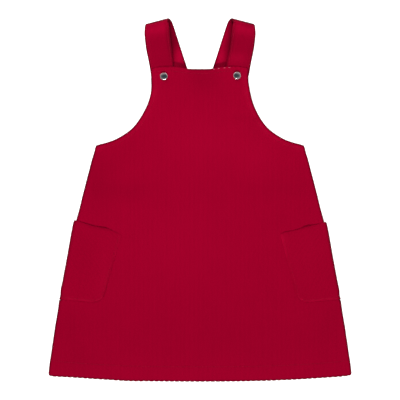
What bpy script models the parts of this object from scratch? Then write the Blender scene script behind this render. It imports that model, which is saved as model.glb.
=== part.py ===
"""Child's pinafore dress in red needlecord, laid flat on its back with the straps snapped shut.

X runs across the garment, +Y from the hem to the strap folds, and +Z up from the surface that it
lies on. The origin is on that surface, under the middle of the garment. Sizes below are in
millimetres, and sheet() and turned() write the meshes in metres. Left is -X and right is +X.
"""
import math
from collections import namedtuple

import bmesh
import bpy

MM = 0.001

# Cloth
WALL = 1.2                # one layer of needlecord
STRAP_WALL = 1.8          # a strap is two layers, pressed
GAP = 0.3                 # between pieces that touch
LAYER = WALL + GAP        # height that one more layer of cloth adds

# Outline of front and back, laid flat
Section = namedtuple("Section", "y width")   # width is from the middle to one side
UNDERARM_Y = 65.6
HEM_CORNER_Y = -209.6
BIB_CORNER_Y = 158.4
BACK_TOP_Y = 144.0        # top of the back, hidden behind the bib
SIDE_SEAM = (
    Section(HEM_CORNER_Y, 182.0),
    Section(-195.0, 180.2),
    Section(-184.0, 178.5),
    Section(-170.0, 176.5),
    Section(-156.0, 174.4),
    Section(-145.0, 172.7),
    Section(-135.0, 170.9),
    Section(-127.0, 169.6),
    Section(-121.5, 168.6),
    Section(-117.6, 165.8),   # the pockets' folds hold the seam in from here
    Section(-110.0, 164.7),
    Section(-90.0, 161.2),
    Section(-70.0, 157.3),
    Section(-50.0, 153.7),
    Section(-30.0, 149.8),
    Section(-10.0, 144.5),
    Section(10.0, 139.7),
    Section(30.0, 134.5),
    Section(50.0, 129.2),
    Section(60.0, 126.1),
    Section(UNDERARM_Y, 123.9),
)
ARMHOLE = (
    Section(UNDERARM_Y, 123.9),
    Section(67.0, 119.9),
    Section(69.0, 112.6),
    Section(72.0, 103.9),
    Section(76.0, 96.0),
    Section(82.0, 86.8),
    Section(88.0, 79.9),
    Section(96.0, 73.5),
    Section(104.0, 68.6),
    Section(111.0, 65.1),
    Section(118.0, 62.4),
    Section(125.0, 60.5),
    Section(132.0, 59.1),
    Section(140.0, 58.3),
    Section(147.0, 58.3),
    Section(153.0, 58.7),
    Section(BIB_CORNER_Y, 59.3),
)
BIB_LAY = (                   # how far the bib lies to the right of the middle
    Section(72.0, 0.0),
    Section(88.0, 0.2),
    Section(104.0, 0.3),
    Section(111.0, 0.5),
    Section(118.0, 0.65),
    Section(125.0, 0.8),
    Section(132.0, 0.7),
    Section(138.0, 0.35),
    Section(144.0, -0.3),
    Section(150.0, -0.75),
    Section(BIB_CORNER_Y, -0.5),
)
HEM_BOW = 7.8             # the hem's middle lies this much lower than its corners
HEM_BOW_POWER = 2.7
HEM_BOW_START_Y = -100.0  # rows above this are straight
NECK_DIP = 1.1            # middle of the neckline below the bib's corners
NECK_RISE = 1.6           # neckline over the straps above the bib's corners
NECK_SHAPE_Y = 138.0      # rows below this are straight

# Grid of the two panels
COLUMNS = 32
RowBand = namedtuple("RowBand", "start end steps")
ROW_BANDS = (
    RowBand(HEM_CORNER_Y, -135.0, 5),
    RowBand(-135.0, -121.5, 2),
    RowBand(-121.5, -117.6, 1),
    RowBand(-117.6, -10.0, 10),
    RowBand(-10.0, UNDERARM_Y, 5),
    RowBand(UNDERARM_Y, 72.0, 4),
    RowBand(72.0, 88.0, 4),
    RowBand(88.0, 125.0, 6),
    RowBand(125.0, BACK_TOP_Y, 4),
    RowBand(BACK_TOP_Y, BIB_CORNER_Y, 3),
)

# Pockets: a rectangle of cloth wrapped round the side seam
Pocket = namedtuple("Pocket", "side fold_top_y inner_top_x inner_top_y")
POCKETS = {
    "left": Pocket(-1, -24.0, 94.2, -41.6),
    "right": Pocket(1, -26.0, 96.2, -40.6),
}
POCKET_INNER_BOTTOM = (118.0, -123.0)
POCKET_FOLD_BOTTOM_Y = -117.6
POCKET_CORNER = 11.0      # radius of the corner inside the skirt
POCKET_GAPE = 1.3         # how far the opening stands off the skirt
FOLD_PROUD_TOP = 2.5      # fold of the pocket beyond the side seam
FOLD_PROUD_BOTTOM = 2.1
POCKET_ROWS = 9
POCKET_COLUMNS = 6        # between the corner and the fold
CORNER_STEPS = 4
FOLD_STEPS = 8
LIFT_MARGIN = 10.0        # panels lie level this far round what lifts them
LIFT_REACH = 11.0         # and come down within this much more

# Straps: a straight band folded over once at the shoulder
STRAP_WIDTH = 32.0
FRONT_LEG_CURL = 0.95     # share of the width left in the front leg, whose edges curl a little
FRONT_LEG_TILT = 0.885    # and at the bib, where it also tilts
FOLD_PINCH = 1.9          # each side of the fold is rounded in by this much
FOLD_SHIFT = 2.5          # the front leg leaves the fold this much further out than it went in
BACK_LEAN = math.radians(17.8)
FRONT_LEAN = math.radians(7.4)
FOLD_SLOPE = (BACK_LEAN + FRONT_LEAN) / 2
FOLD_RADIUS = 4.6         # to the middle of the strap's wall
FOLD_TOP = (51.0, 214.9)  # middle of the fold's outer line
STRAP_BACK_END_Y = 124.0
STRAP_FRONT_END_Y = 128.0
STRAP_COLUMNS = 6
BACK_LEG_ROWS = 12
FRONT_LEG_ROWS = 12
BACK_LEG_ON_PANEL = LAYER + STRAP_WALL / 2
BACK_LEG_ON_FLOOR = STRAP_WALL / 2
LEG_STEP_Y = (146.5, 160.0)
TILT_Y = (158.0, 188.0)
FRONT_LEG_Z = 5.2
FRONT_LEG_FALL_Y = (158.0, 206.0)
EDGE_SAG = 1.6            # the front leg's long edges hang this much lower than its middle
EDGE_SAG_WIDTH = 7.0
EDGE_SAG_FADE = 10.0      # and none at the fold, within this much of it
EDGE_SAG_Y = (158.0, 172.0)   # none below, where the leg goes under the bib

# Snaps
Snap = namedtuple("Snap", "x y")
SNAPS = {"left": Snap(-43.3, 148.1), "right": Snap(44.6, 149.1)}
CAP_RADIUS = 4.75
SHANK_RADIUS = 1.1
HOLE_RADIUS = 1.5
SOCKET_RADIUS = 4.3
RECESS_RADIUS = 2.5
STUD_RADIUS = 2.1
POST_RADIUS = 4.0
CAP_SEGMENTS = 20
STUD_SEGMENTS = 14
FRONT_LEG_TOP = FRONT_LEG_Z + STRAP_WALL / 2
SOCKET_Z = (FRONT_LEG_TOP + GAP, FRONT_LEG_TOP + GAP + 1.4)
RECESS_TOP = SOCKET_Z[0] + 1.0
STUD_TOP = SOCKET_Z[0] + 0.7
POST_Z = (FRONT_LEG_Z - STRAP_WALL / 2 - GAP - 0.4, FRONT_LEG_Z - STRAP_WALL / 2 - GAP)

# Heights of the bib's underside over the straps and over the snaps
BIB_LIFT = FRONT_LEG_TOP + GAP - LAYER
BIB_LIFT_Y = (46.0, 124.0)
BIB_LIFT_X = (62.0, 76.0)
SNAP_LIFT = SOCKET_Z[1] + GAP - (FRONT_LEG_TOP + GAP)
SNAP_LEVEL_RADIUS = 7.0
SNAP_LIFT_RADIUS = 17.0
CAP_Z = SOCKET_Z[1] + GAP + WALL + GAP

# Colours, linear
CORD_RED = (0.332, 0.0006, 0.0212, 1.0)
STRAP_RED = (0.306, 0.0005, 0.0194, 1.0)
NICKEL = (0.50, 0.51, 0.53, 1.0)


def smoothstep(value, start, end):
    """0 at start, 1 at end, with a level beginning and ending."""
    share = min(max((value - start) / (end - start), 0.0), 1.0)
    return share * share * (3.0 - 2.0 * share)


def mix(a, b, share):
    return a + (b - a) * share


def steps(start, end, count):
    """count + 1 even steps from start to end."""
    return [mix(start, end, i / count) for i in range(count + 1)]


def curve_through(sections, y):
    """Width at y, on a smooth curve through a table of sections."""
    y = min(max(y, sections[0].y), sections[-1].y)
    slopes = []
    for i in range(len(sections)):
        below = sections[max(i - 1, 0)]
        above = sections[min(i + 1, len(sections) - 1)]
        slopes.append((above.width - below.width) / (above.y - below.y))
    i = 0
    while i < len(sections) - 2 and y > sections[i + 1].y:
        i += 1
    low, high = sections[i], sections[i + 1]
    span = high.y - low.y
    t = (y - low.y) / span
    return ((2 * t**3 - 3 * t**2 + 1) * low.width
            + (t**3 - 2 * t**2 + t) * span * slopes[i]
            + (3 * t**2 - 2 * t**3) * high.width
            + (t**3 - t**2) * span * slopes[i + 1])


def half_width(y):
    """From the middle of the garment to its side seam or armhole edge."""
    return curve_through(SIDE_SEAM if y <= UNDERARM_Y else ARMHOLE, y)


def neckline(x):
    """Height of the bib's top edge, against the bib's corners."""
    over_strap = smoothstep(abs(x), 8.0, 34.0) * (1.0 - smoothstep(abs(x), 47.0, 58.0))
    return mix(-NECK_DIP, NECK_RISE, over_strap) * (1.0 - smoothstep(abs(x), 50.0, 58.8))


def panel_point(edge_y, across):
    """Place on the laid-out outline: a row by its height at the side, across from -1 to 1."""
    x = across * half_width(edge_y)
    bow = HEM_BOW * max(0.0, (HEM_BOW_START_Y - edge_y) / (HEM_BOW_START_Y - HEM_CORNER_Y))
    shape = max(0.0, (edge_y - NECK_SHAPE_Y) / (BIB_CORNER_Y - NECK_SHAPE_Y))
    y = edge_y - bow * (1.0 - abs(across) ** HEM_BOW_POWER) + shape * neckline(x)
    return x + curve_through(BIB_LAY, edge_y), y


def pocket_inner_x(pocket, y):
    """Inner edge of a pocket, a straight line that follows the side seam's slant."""
    bottom_x, bottom_y = POCKET_INNER_BOTTOM
    share = (y - pocket.inner_top_y) / (bottom_y - pocket.inner_top_y)
    return mix(pocket.inner_top_x, bottom_x, share)


def pocket_lift(x, y):
    """How much the back half of a pocket lifts the panels that lie on it."""
    pocket = POCKETS["left"] if x < 0 else POCKETS["right"]
    seam_x = half_width(pocket.fold_top_y)
    slope = (pocket.fold_top_y - pocket.inner_top_y) / (seam_x - pocket.inner_top_x)
    top_y = pocket.inner_top_y + slope * (abs(x) - pocket.inner_top_x)
    outside = (
        pocket_inner_x(pocket, y) - abs(x),
        y - max(top_y, pocket.inner_top_y),
        POCKET_INNER_BOTTOM[1] - y,
    )
    lift = LAYER
    for distance in outside:
        lift *= 1.0 - smoothstep(distance, LIFT_MARGIN, LIFT_MARGIN + LIFT_REACH)
    return lift


def strap_lift(x, y):
    """How much straps and snaps lift the bib."""
    along = smoothstep(y, *BIB_LIFT_Y)
    lift = BIB_LIFT * along * (1.0 - smoothstep(abs(x), *BIB_LIFT_X))
    for snap in SNAPS.values():
        away = math.hypot(x - snap.x, y - snap.y)
        lift += SNAP_LIFT * (1.0 - smoothstep(away, SNAP_LEVEL_RADIUS, SNAP_LIFT_RADIUS))
    return lift


def back_height(x, y):
    return WALL / 2 + pocket_lift(x, y)


def front_height(x, y):
    return LAYER + WALL / 2 + pocket_lift(x, y) + strap_lift(x, y)


def cloth_material(name, colour):
    """Needlecord: dyed cotton with a short pile, so no gloss."""
    material = bpy.data.materials.new(name)
    material.use_nodes = True
    shader = material.node_tree.nodes["Principled BSDF"]
    shader.inputs["Base Color"].default_value = colour
    shader.inputs["Roughness"].default_value = 0.95
    return material


def metal_material(name):
    """Polished nickel plate on a stamped brass snap."""
    material = bpy.data.materials.new(name)
    material.use_nodes = True
    shader = material.node_tree.nodes["Principled BSDF"]
    shader.inputs["Base Color"].default_value = NICKEL
    shader.inputs["Roughness"].default_value = 0.25
    shader.inputs["Metallic"].default_value = 1.0
    return material


def place(name, mesh, material):
    mesh.materials.append(material)
    part = bpy.data.objects.new(name, mesh)
    bpy.context.scene.collection.objects.link(part)
    return part


def sheet(name, rows, wall, material):
    """Cloth wall: a grid of places in the middle of the wall, given its thickness by Solidify."""
    bm = bmesh.new()
    grid = [[bm.verts.new([c * MM for c in point]) for point in row] for row in rows]
    for low, high in zip(grid, grid[1:]):
        for i in range(len(low) - 1):
            bm.faces.new((low[i], low[i + 1], high[i + 1], high[i]))
    mesh = bpy.data.meshes.new(name)
    bm.to_mesh(mesh)
    bm.free()
    mesh.shade_smooth()
    part = place(name, mesh, material)
    solidify = part.modifiers.new("wall", "SOLIDIFY")
    solidify.thickness = wall * MM
    solidify.offset = 0.0
    return part


def turned(name, profile, segments, centre, material):
    """Round piece: a profile of radius and height, from axis to axis, spun round the vertical."""
    bm = bmesh.new()
    ring = [bm.verts.new((radius * MM, 0.0, z * MM)) for radius, z in profile]
    edges = [bm.edges.new(pair) for pair in zip(ring, ring[1:])]
    bmesh.ops.spin(bm, geom=ring + edges, axis=(0, 0, 1), cent=(0, 0, 0),
                   angle=math.tau, steps=segments, use_duplicate=False)
    bmesh.ops.remove_doubles(bm, verts=bm.verts, dist=1e-7)
    bmesh.ops.recalc_face_normals(bm, faces=bm.faces)
    mesh = bpy.data.meshes.new(name)
    bm.to_mesh(mesh)
    bm.free()
    mesh.shade_smooth()
    mesh.set_sharp_from_angle(angle=math.radians(35))
    part = place(name, mesh, material)
    part.location = (centre.x * MM, centre.y * MM, 0.0)
    return part


def cut_hole(part, snap, low, high):
    """Punched hole for a snap's shank, between two heights."""
    cutter = turned("hole_cutter_" + part.name, (
        (0.0, low), (HOLE_RADIUS, low), (HOLE_RADIUS, high), (0.0, high),
    ), STUD_SEGMENTS, snap, part.data.materials[0])
    cutter.hide_render = True
    cutter.display_type = "WIRE"
    hole = part.modifiers.new("snap hole", "BOOLEAN")
    hole.operation = "DIFFERENCE"
    hole.object = cutter


def make_panel(name, height, top_y, material):
    """Front or back, row by row from the hem to top_y."""
    edges = [ROW_BANDS[0].start]
    for band in ROW_BANDS:
        edges += steps(band.start, band.end, band.steps)[1:]
    rows = []
    for edge_y in edges:
        if edge_y > top_y + GAP:
            break
        places = [panel_point(edge_y, across) for across in steps(-1.0, 1.0, COLUMNS)]
        rows.append([(x, y, height(x, y)) for x, y in places])
    return sheet(name, rows, WALL, material)


def pocket_columns():
    """Shares of the way from a pocket's inner edge to its fold, closer at the rounded corner."""
    width = half_width(POCKET_FOLD_BOTTOM_Y) - POCKET_INNER_BOTTOM[0]
    corner = [POCKET_CORNER / width * (1.0 - math.cos(angle))
              for angle in steps(0.0, math.pi / 2, CORNER_STEPS)]
    return corner + steps(corner[-1], 1.0, POCKET_COLUMNS)[1:]


def pocket_rows(pocket):
    """Middle of a pocket's wall, from its front inner edge round the fold to its back one."""
    bottom_x, bottom_y = POCKET_INNER_BOTTOM
    width = half_width(POCKET_FOLD_BOTTOM_Y) - bottom_x
    depth = pocket.inner_top_y - bottom_y
    front_z = 3 * LAYER + WALL / 2
    back_z = WALL / 2
    radius = (front_z - back_z) / 2
    shares = pocket_columns()
    rows = []
    for down in steps(0.0, 1.0, POCKET_ROWS):
        front, back = [], []
        proud = mix(FOLD_PROUD_TOP, FOLD_PROUD_BOTTOM, down)
        for share in shares:
            from_edge = min(share * width / POCKET_CORNER, 1.0)
            rounding = POCKET_CORNER / depth * (1.0 - math.sqrt(1.0 - (1.0 - from_edge) ** 2))
            row = down * (1.0 - rounding)
            y = mix(mix(pocket.inner_top_y, bottom_y, row),
                    mix(pocket.fold_top_y, POCKET_FOLD_BOTTOM_Y, row), share)
            fold_x = half_width(y) + proud - radius - WALL / 2
            x = mix(pocket_inner_x(pocket, mix(pocket.inner_top_y, bottom_y, row)), fold_x, share)
            gape = POCKET_GAPE * math.sin(math.pi * share) * (1.0 - smoothstep(down, 0.0, 0.45))
            front.append((pocket.side * x, y, front_z + gape))
            back.append((pocket.side * x, y, back_z))
        fold = []
        for angle in steps(0.0, math.pi, FOLD_STEPS)[1:-1]:
            fold.append((pocket.side * (fold_x + radius * math.sin(angle)), y,
                         back_z + radius * (1.0 + math.cos(angle))))
        rows.append(front + fold + back[::-1])
    return rows


def strap_half_width(travel, arc, y):
    """Half the strap along the fold line, travel past the start of the fold's arc."""
    share = 1.0
    if travel > arc:
        share = mix(FRONT_LEG_TILT, FRONT_LEG_CURL, smoothstep(y, *TILT_Y))
    elif travel > 0.0:
        share = mix(1.0, FRONT_LEG_CURL, travel / arc)
    from_crest = abs(travel - arc / 2)
    pinch = FOLD_PINCH * (1.0 - smoothstep(from_crest, 0.0, arc))
    return (STRAP_WIDTH / 2 * share - pinch) / math.cos(BACK_LEAN - FOLD_SLOPE)


def strap_rows(side):
    """Middle of a strap's wall: a flat band rolled round a cylinder that lies on the fold line.

    Rows are parallel to the fold line. Down the back leg the band leans one way, and the fold
    mirrors that lean in the front leg.
    """
    fold_x, fold_y = FOLD_TOP
    reach = FOLD_RADIUS + STRAP_WALL / 2
    axis_x = fold_x - reach * math.sin(FOLD_SLOPE)
    axis_y = fold_y - reach * math.cos(FOLD_SLOPE)
    drift = math.tan(BACK_LEAN - FOLD_SLOPE)
    arc = math.pi * FOLD_RADIUS
    back_length = (axis_y - STRAP_BACK_END_Y) / math.cos(FOLD_SLOPE)
    front_length = (axis_y - STRAP_FRONT_END_Y) / math.cos(FOLD_SLOPE)
    travels = steps(-back_length, 0.0, BACK_LEG_ROWS)
    travels += steps(0.0, arc, FOLD_STEPS)[1:]
    travels += steps(arc, arc + front_length, FRONT_LEG_ROWS)[1:]
    rows = []
    for travel in travels:
        angle = min(max(travel, 0.0), arc) / FOLD_RADIUS
        beyond = min(travel, 0.0) - max(travel - arc, 0.0)
        outward = FOLD_RADIUS * math.sin(angle) + beyond
        row = []
        for place_across in steps(-1.0, 1.0, STRAP_COLUMNS):
            middle_y = axis_y + outward * math.cos(FOLD_SLOPE)
            half = strap_half_width(travel, arc, middle_y)
            shift = FOLD_SHIFT * (smoothstep(travel, 0.0, arc) - 0.5)
            across = place_across * half + drift * travel + shift
            x = axis_x + across * math.cos(FOLD_SLOPE) + outward * math.sin(FOLD_SLOPE)
            y = axis_y - across * math.sin(FOLD_SLOPE) + outward * math.cos(FOLD_SLOPE)
            if travel <= 0.0:
                z = mix(BACK_LEG_ON_PANEL, BACK_LEG_ON_FLOOR, smoothstep(y, *LEG_STEP_Y))
            elif travel <= arc:
                z = BACK_LEG_ON_FLOOR + FOLD_RADIUS * (1.0 - math.cos(angle))
            else:
                top = BACK_LEG_ON_FLOOR + 2 * FOLD_RADIUS
                z = mix(FRONT_LEG_Z, top, smoothstep(y, *FRONT_LEG_FALL_Y))
                from_edge = (1.0 - abs(place_across)) * half
                sag = EDGE_SAG * (1.0 - smoothstep(from_edge, 0.0, EDGE_SAG_WIDTH))
                z -= sag * smoothstep(y, *EDGE_SAG_Y) * smoothstep(travel, arc, arc + EDGE_SAG_FADE)
            row.append((side * x, y, z))
        rows.append(row)
    return rows


def make_snap(side, snap, material):
    """Cap riveted to its socket through the bib, and the stud riveted through the strap."""
    turned("snap_cap_" + side, (
        (0.0, RECESS_TOP),
        (RECESS_RADIUS, RECESS_TOP),
        (RECESS_RADIUS, SOCKET_Z[0]),
        (SOCKET_RADIUS, SOCKET_Z[0]),
        (SOCKET_RADIUS, SOCKET_Z[1]),
        (SHANK_RADIUS, SOCKET_Z[1]),
        (SHANK_RADIUS, CAP_Z),
        (CAP_RADIUS - 0.3, CAP_Z),
        (CAP_RADIUS, CAP_Z + 0.35),
        (CAP_RADIUS - 0.35, CAP_Z + 0.8),
        (CAP_RADIUS - 1.5, CAP_Z + 1.1),
        (0.0, CAP_Z + 1.25),
    ), CAP_SEGMENTS, snap, material)
    turned("snap_stud_" + side, (
        (0.0, POST_Z[0]),
        (POST_RADIUS, POST_Z[0]),
        (POST_RADIUS, POST_Z[1]),
        (SHANK_RADIUS, POST_Z[1]),
        (SHANK_RADIUS, SOCKET_Z[0]),
        (STUD_RADIUS, SOCKET_Z[0]),
        (STUD_RADIUS - 0.3, STUD_TOP),
        (0.0, STUD_TOP),
    ), STUD_SEGMENTS, snap, material)


def main():
    for old in list(bpy.data.objects):
        bpy.data.objects.remove(old, do_unlink=True)

    front = make_panel("front_panel", front_height, BIB_CORNER_Y,
                       cloth_material("front needlecord", CORD_RED))
    make_panel("back_panel", back_height, BACK_TOP_Y,
               cloth_material("back needlecord", CORD_RED))
    for side, pocket in POCKETS.items():
        sheet("pocket_" + side, pocket_rows(pocket), WALL,
              cloth_material("pocket needlecord " + side, CORD_RED))
    for side, snap in SNAPS.items():
        strap = sheet("strap_" + side, strap_rows(POCKETS[side].side), STRAP_WALL,
                      cloth_material("strap needlecord " + side, STRAP_RED))
        cut_hole(strap, snap, POST_Z[1] - GAP / 2, FRONT_LEG_TOP + GAP / 2)
        cut_hole(front, snap, SOCKET_Z[1] - GAP / 2, CAP_Z + GAP / 2)
        make_snap(side, snap, metal_material("nickel snap " + side))


main()
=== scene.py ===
# %% [markdown]
# # A child's pinafore dress in red needlecord
# A pinafore dress is a sleeveless A-line dress with a bib. This one lies flat on its back, with
# its two straps folded over at the shoulders and snapped shut behind the bib.
# The rigid frame, made elsewhere, gives every piece its place and size. This lesson dresses it:
# each cloth piece becomes a thin wall with rounded edges, sewn with rows of real stitches, and
# the metal snaps are turned again with finer rims.

# %% Load the frame
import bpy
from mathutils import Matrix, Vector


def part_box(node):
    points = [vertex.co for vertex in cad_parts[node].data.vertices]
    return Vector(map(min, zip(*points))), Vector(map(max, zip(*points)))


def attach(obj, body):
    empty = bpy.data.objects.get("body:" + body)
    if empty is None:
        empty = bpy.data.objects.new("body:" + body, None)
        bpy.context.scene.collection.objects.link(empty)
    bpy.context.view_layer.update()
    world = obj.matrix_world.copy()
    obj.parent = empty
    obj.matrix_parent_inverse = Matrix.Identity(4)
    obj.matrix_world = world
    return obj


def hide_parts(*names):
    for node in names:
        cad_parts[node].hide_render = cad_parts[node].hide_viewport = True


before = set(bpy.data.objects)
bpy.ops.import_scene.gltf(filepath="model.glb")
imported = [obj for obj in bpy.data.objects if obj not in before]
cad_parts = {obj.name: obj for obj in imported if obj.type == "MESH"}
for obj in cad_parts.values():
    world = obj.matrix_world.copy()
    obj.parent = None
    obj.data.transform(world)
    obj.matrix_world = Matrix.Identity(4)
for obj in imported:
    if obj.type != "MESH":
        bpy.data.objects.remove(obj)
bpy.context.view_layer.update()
print("nodes:", sorted(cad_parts))

# %% [markdown]
# ## Units and small tools
# Cloth is measured in millimetres, and Blender works in metres, so sizes below are in
# millimetres and are multiplied by MM once, when a mesh is written. Soft steps and bell curves
# shape everything here, because cloth has no hard changes.

# %% Units and small tools
import math
from collections import namedtuple

import bpy
import numpy as np
from mathutils import Vector
from mathutils.bvhtree import BVHTree
from mathutils.kdtree import KDTree

MM = 0.001


def select_only(piece=None):
    """Operators act on all that is selected, so nothing else may be."""
    for other in bpy.context.selected_objects:
        other.select_set(False)
    if piece is not None:
        piece.select_set(True)
        bpy.context.view_layer.objects.active = piece


def smoothstep(value, start, end):
    """0 at start, 1 at end, level at both; it works on arrays too."""
    share = np.clip((value - start) / (end - start), 0.0, 1.0)
    return share * share * (3.0 - 2.0 * share)


def fade(value, start, end):
    """1 at start, 0 at end."""
    return 1.0 - smoothstep(value, start, end)


def mix(a, b, share):
    return a + (b - a) * share


def bell(value, centre, width):
    """1 at the centre, falling to nothing about two widths away."""
    return np.exp(-((value - centre) / width) ** 2)


def joined(*runs):
    """Several runs of numbers as one rising row, each number once."""
    return np.unique(np.round(np.concatenate([np.atleast_1d(run) for run in runs]), 4))


def nearest(*distances):
    """The smallest of several distances, place by place."""
    return np.minimum.reduce(distances)


# %% [markdown]
# ## The cloth's walls and edges
# Needlecord is a cotton cloth woven with fine raised ribs, called wales. One layer is 1.2 mm
# thick, and a strap is two layers pressed together. An edge is folded under before it is
# stitched, so it is round and never sharp, and points lie close together there to draw that.

# %% The cloth's walls and edges
WALL = 1.2
STRAP_WALL = 1.8
LAYER = 1.5               # one wall and the gap under it
EDGE_ROUND = 1.7          # how far in from an edge the cloth starts to turn down
THINNEST = 0.06           # share of the wall that is left right at an edge
EDGE_STEPS = np.array([0.0, 0.12, 0.35, 0.7, 1.15, 1.7, 2.4, 3.3, 4.3])


def roundness(from_edge, reach=EDGE_ROUND):
    """Share of the wall at a distance from the edge: a quarter of an ellipse."""
    inward = 1.0 - np.clip(from_edge / reach, 0.0, 1.0)
    return np.maximum(np.sqrt(1.0 - inward ** 2), THINNEST)


# %% [markdown]
# Wales run up the garment. Real needlecord has 16 to 21 of them an inch, and here they are at
# the coarse end, 1.53 mm apart, because finer ones are too fine to show in a picture of the
# whole dress. Where a wale's groove runs over the turned hem it leaves a nick, and only every
# fourth nick is drawn, for the same reason.

# %% Wales and nicks
WALES_PER_NICK = 4
NICK_SPACING = 6.1264     # along a turned edge
WALE = NICK_SPACING / WALES_PER_NICK


def nick(x):
    """How strongly a groove nicks a turned edge at x: narrow, once every few wales."""
    from_nick = np.abs((x / NICK_SPACING + 0.5) % 1.0 - 0.5) * NICK_SPACING
    return np.clip(1.0 - from_nick / WALE, 0.0, 1.0)


print("wales are", round(WALE, 2), "mm apart")

# %% [markdown]
# Over a fold the pile parts and the darker ground between its tufts shows. A bump can't do that, so
# each point of a cloth piece holds a tone: above 0 it is darker, below 0 lighter. Most of these tones
# are painted shade and painted light. The dark of a fold is partly the parted pile and partly painted
# shade, where the round edge turns away from the light. A fold against the table looks dark, and one
# that lies on more of the same cloth hardly does.

# %% The tone of a fold
FOLD_DARK = 0.75
FOLD_DARK_ON_CLOTH = 0.06
FOLD_DARK_AT_NECK = 0.6   # the bib's top edge, between the straps
FOLD_DARK_REACH = 3.2     # how far in from the fold the dark goes


def fold_tone(from_fold, strength=FOLD_DARK):
    return strength * fade(from_fold, 0.0, FOLD_DARK_REACH)


# %% [markdown]
# ## From a grid to a piece of cloth
# Every cloth piece starts as a flat grid primitive. Its points are then moved to where the middle of
# the cloth lies, and Solidify gives the wall its thickness. A vertex group makes the wall thinner
# towards the edges, which rounds them. The UV map holds real millimetres across and along the wales,
# so the weave follows the cloth wherever it bends, and a point attribute holds the tone. Cloth
# simulation would also work, but a pressed dress hardly moves, and placed one by one each crease is
# where it should be.

# %% From a grid to a piece of cloth
def lay_cloth(name, middle, wall, share, across, along, tone):
    """middle is rows of points in mm; share, across, along and tone are one number each."""
    rows, columns = middle.shape[:2]
    select_only()
    bpy.ops.mesh.primitive_grid_add(x_subdivisions=columns - 1, y_subdivisions=rows - 1, size=1.0)
    piece = bpy.context.object
    piece.name = name
    mesh = piece.data
    mesh.name = name
    if len(mesh.vertices) != rows * columns:
        raise ValueError("the grid has another number of points")
    mesh.vertices.foreach_set("co", (middle.reshape(-1) * MM).astype(np.float32))
    corner = np.zeros(len(mesh.loops), np.int32)
    mesh.loops.foreach_get("vertex_index", corner)
    weave = mesh.uv_layers[0]
    weave.name = "wales_mm"
    flat = np.stack([across.reshape(-1)[corner], along.reshape(-1)[corner]], axis=1)
    weave.data.foreach_set("uv", flat.astype(np.float32).reshape(-1))
    # The tone is mostly painted light and shade, with some real darker ground where the pile parts on
    # folds.
    pile = mesh.attributes.new("shading_and_pile_tone", "FLOAT", "POINT")
    pile.data.foreach_set("value", tone.reshape(-1).astype(np.float32))
    group = piece.vertex_groups.new(name="wall")
    for index, weight in enumerate(share.reshape(-1)):
        group.add([index], float(weight), "REPLACE")
    solid = piece.modifiers.new("wall", "SOLIDIFY")
    solid.thickness = wall * MM
    solid.offset = 0.0
    solid.vertex_group = group.name
    solid.use_quality_normals = True
    select_only(piece)
    bpy.ops.object.modifier_apply(modifier=solid.name)
    piece.vertex_groups.clear()
    bpy.ops.object.shade_smooth()
    print(name, "has", len(piece.data.polygons), "faces")
    return piece


# %% [markdown]
# ## Measure the panels on the frame
# The panels' outline isn't drawn again: it is read from the frame's own edges. Where an edge
# crosses a level line lies a point of the outline, and a smooth curve runs through the points.

# %% Cut across the frame's edges
def node_lines(name):
    """Both ends of every edge of a frame node, in mm."""
    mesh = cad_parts[name].data
    places = np.array([vertex.co for vertex in mesh.vertices]) / MM
    ends = np.array([edge.vertices[:] for edge in mesh.edges])
    return places[ends[:, 0]], places[ends[:, 1]]


def crossings(lines, axis, value):
    """Where the edges cross the plane at that value of an axis."""
    start, end = lines
    before, after = start[:, axis] - value, end[:, axis] - value
    hit = (before * after <= 0) & (before != after)
    share = (before[hit] / (before[hit] - after[hit]))[:, None]
    return start[hit] + share * (end[hit] - start[hit])


def curve_through(places, values, at):
    """Smooth curve through points: a cubic with the slopes of its neighbours."""
    slopes = np.gradient(values, places)
    at = np.clip(at, places[0], places[-1])
    i = np.clip(np.searchsorted(places, at) - 1, 0, len(places) - 2)
    span = places[i + 1] - places[i]
    t = (at - places[i]) / span
    return ((2 * t**3 - 3 * t**2 + 1) * values[i] + (t**3 - 2 * t**2 + t) * span * slopes[i]
            + (3 * t**2 - 2 * t**3) * values[i + 1] + (t**3 - t**2) * span * slopes[i + 1])


# %% [markdown]
# A panel's side is found row by row as its widest place, with the underarm corner kept sharp.
# Its hem and neckline are read column by column.

# %% Read the outlines
UNDERARM_Y = 65.6
SAME_ROW = 0.05           # points whose heights differ by less lie in one row
ROWS_APART = 0.5
OUTLINE_COLUMNS = 91      # from the middle to a hem corner
JUST_INSIDE = 0.9999      # keeps the outermost columns off the corners


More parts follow.
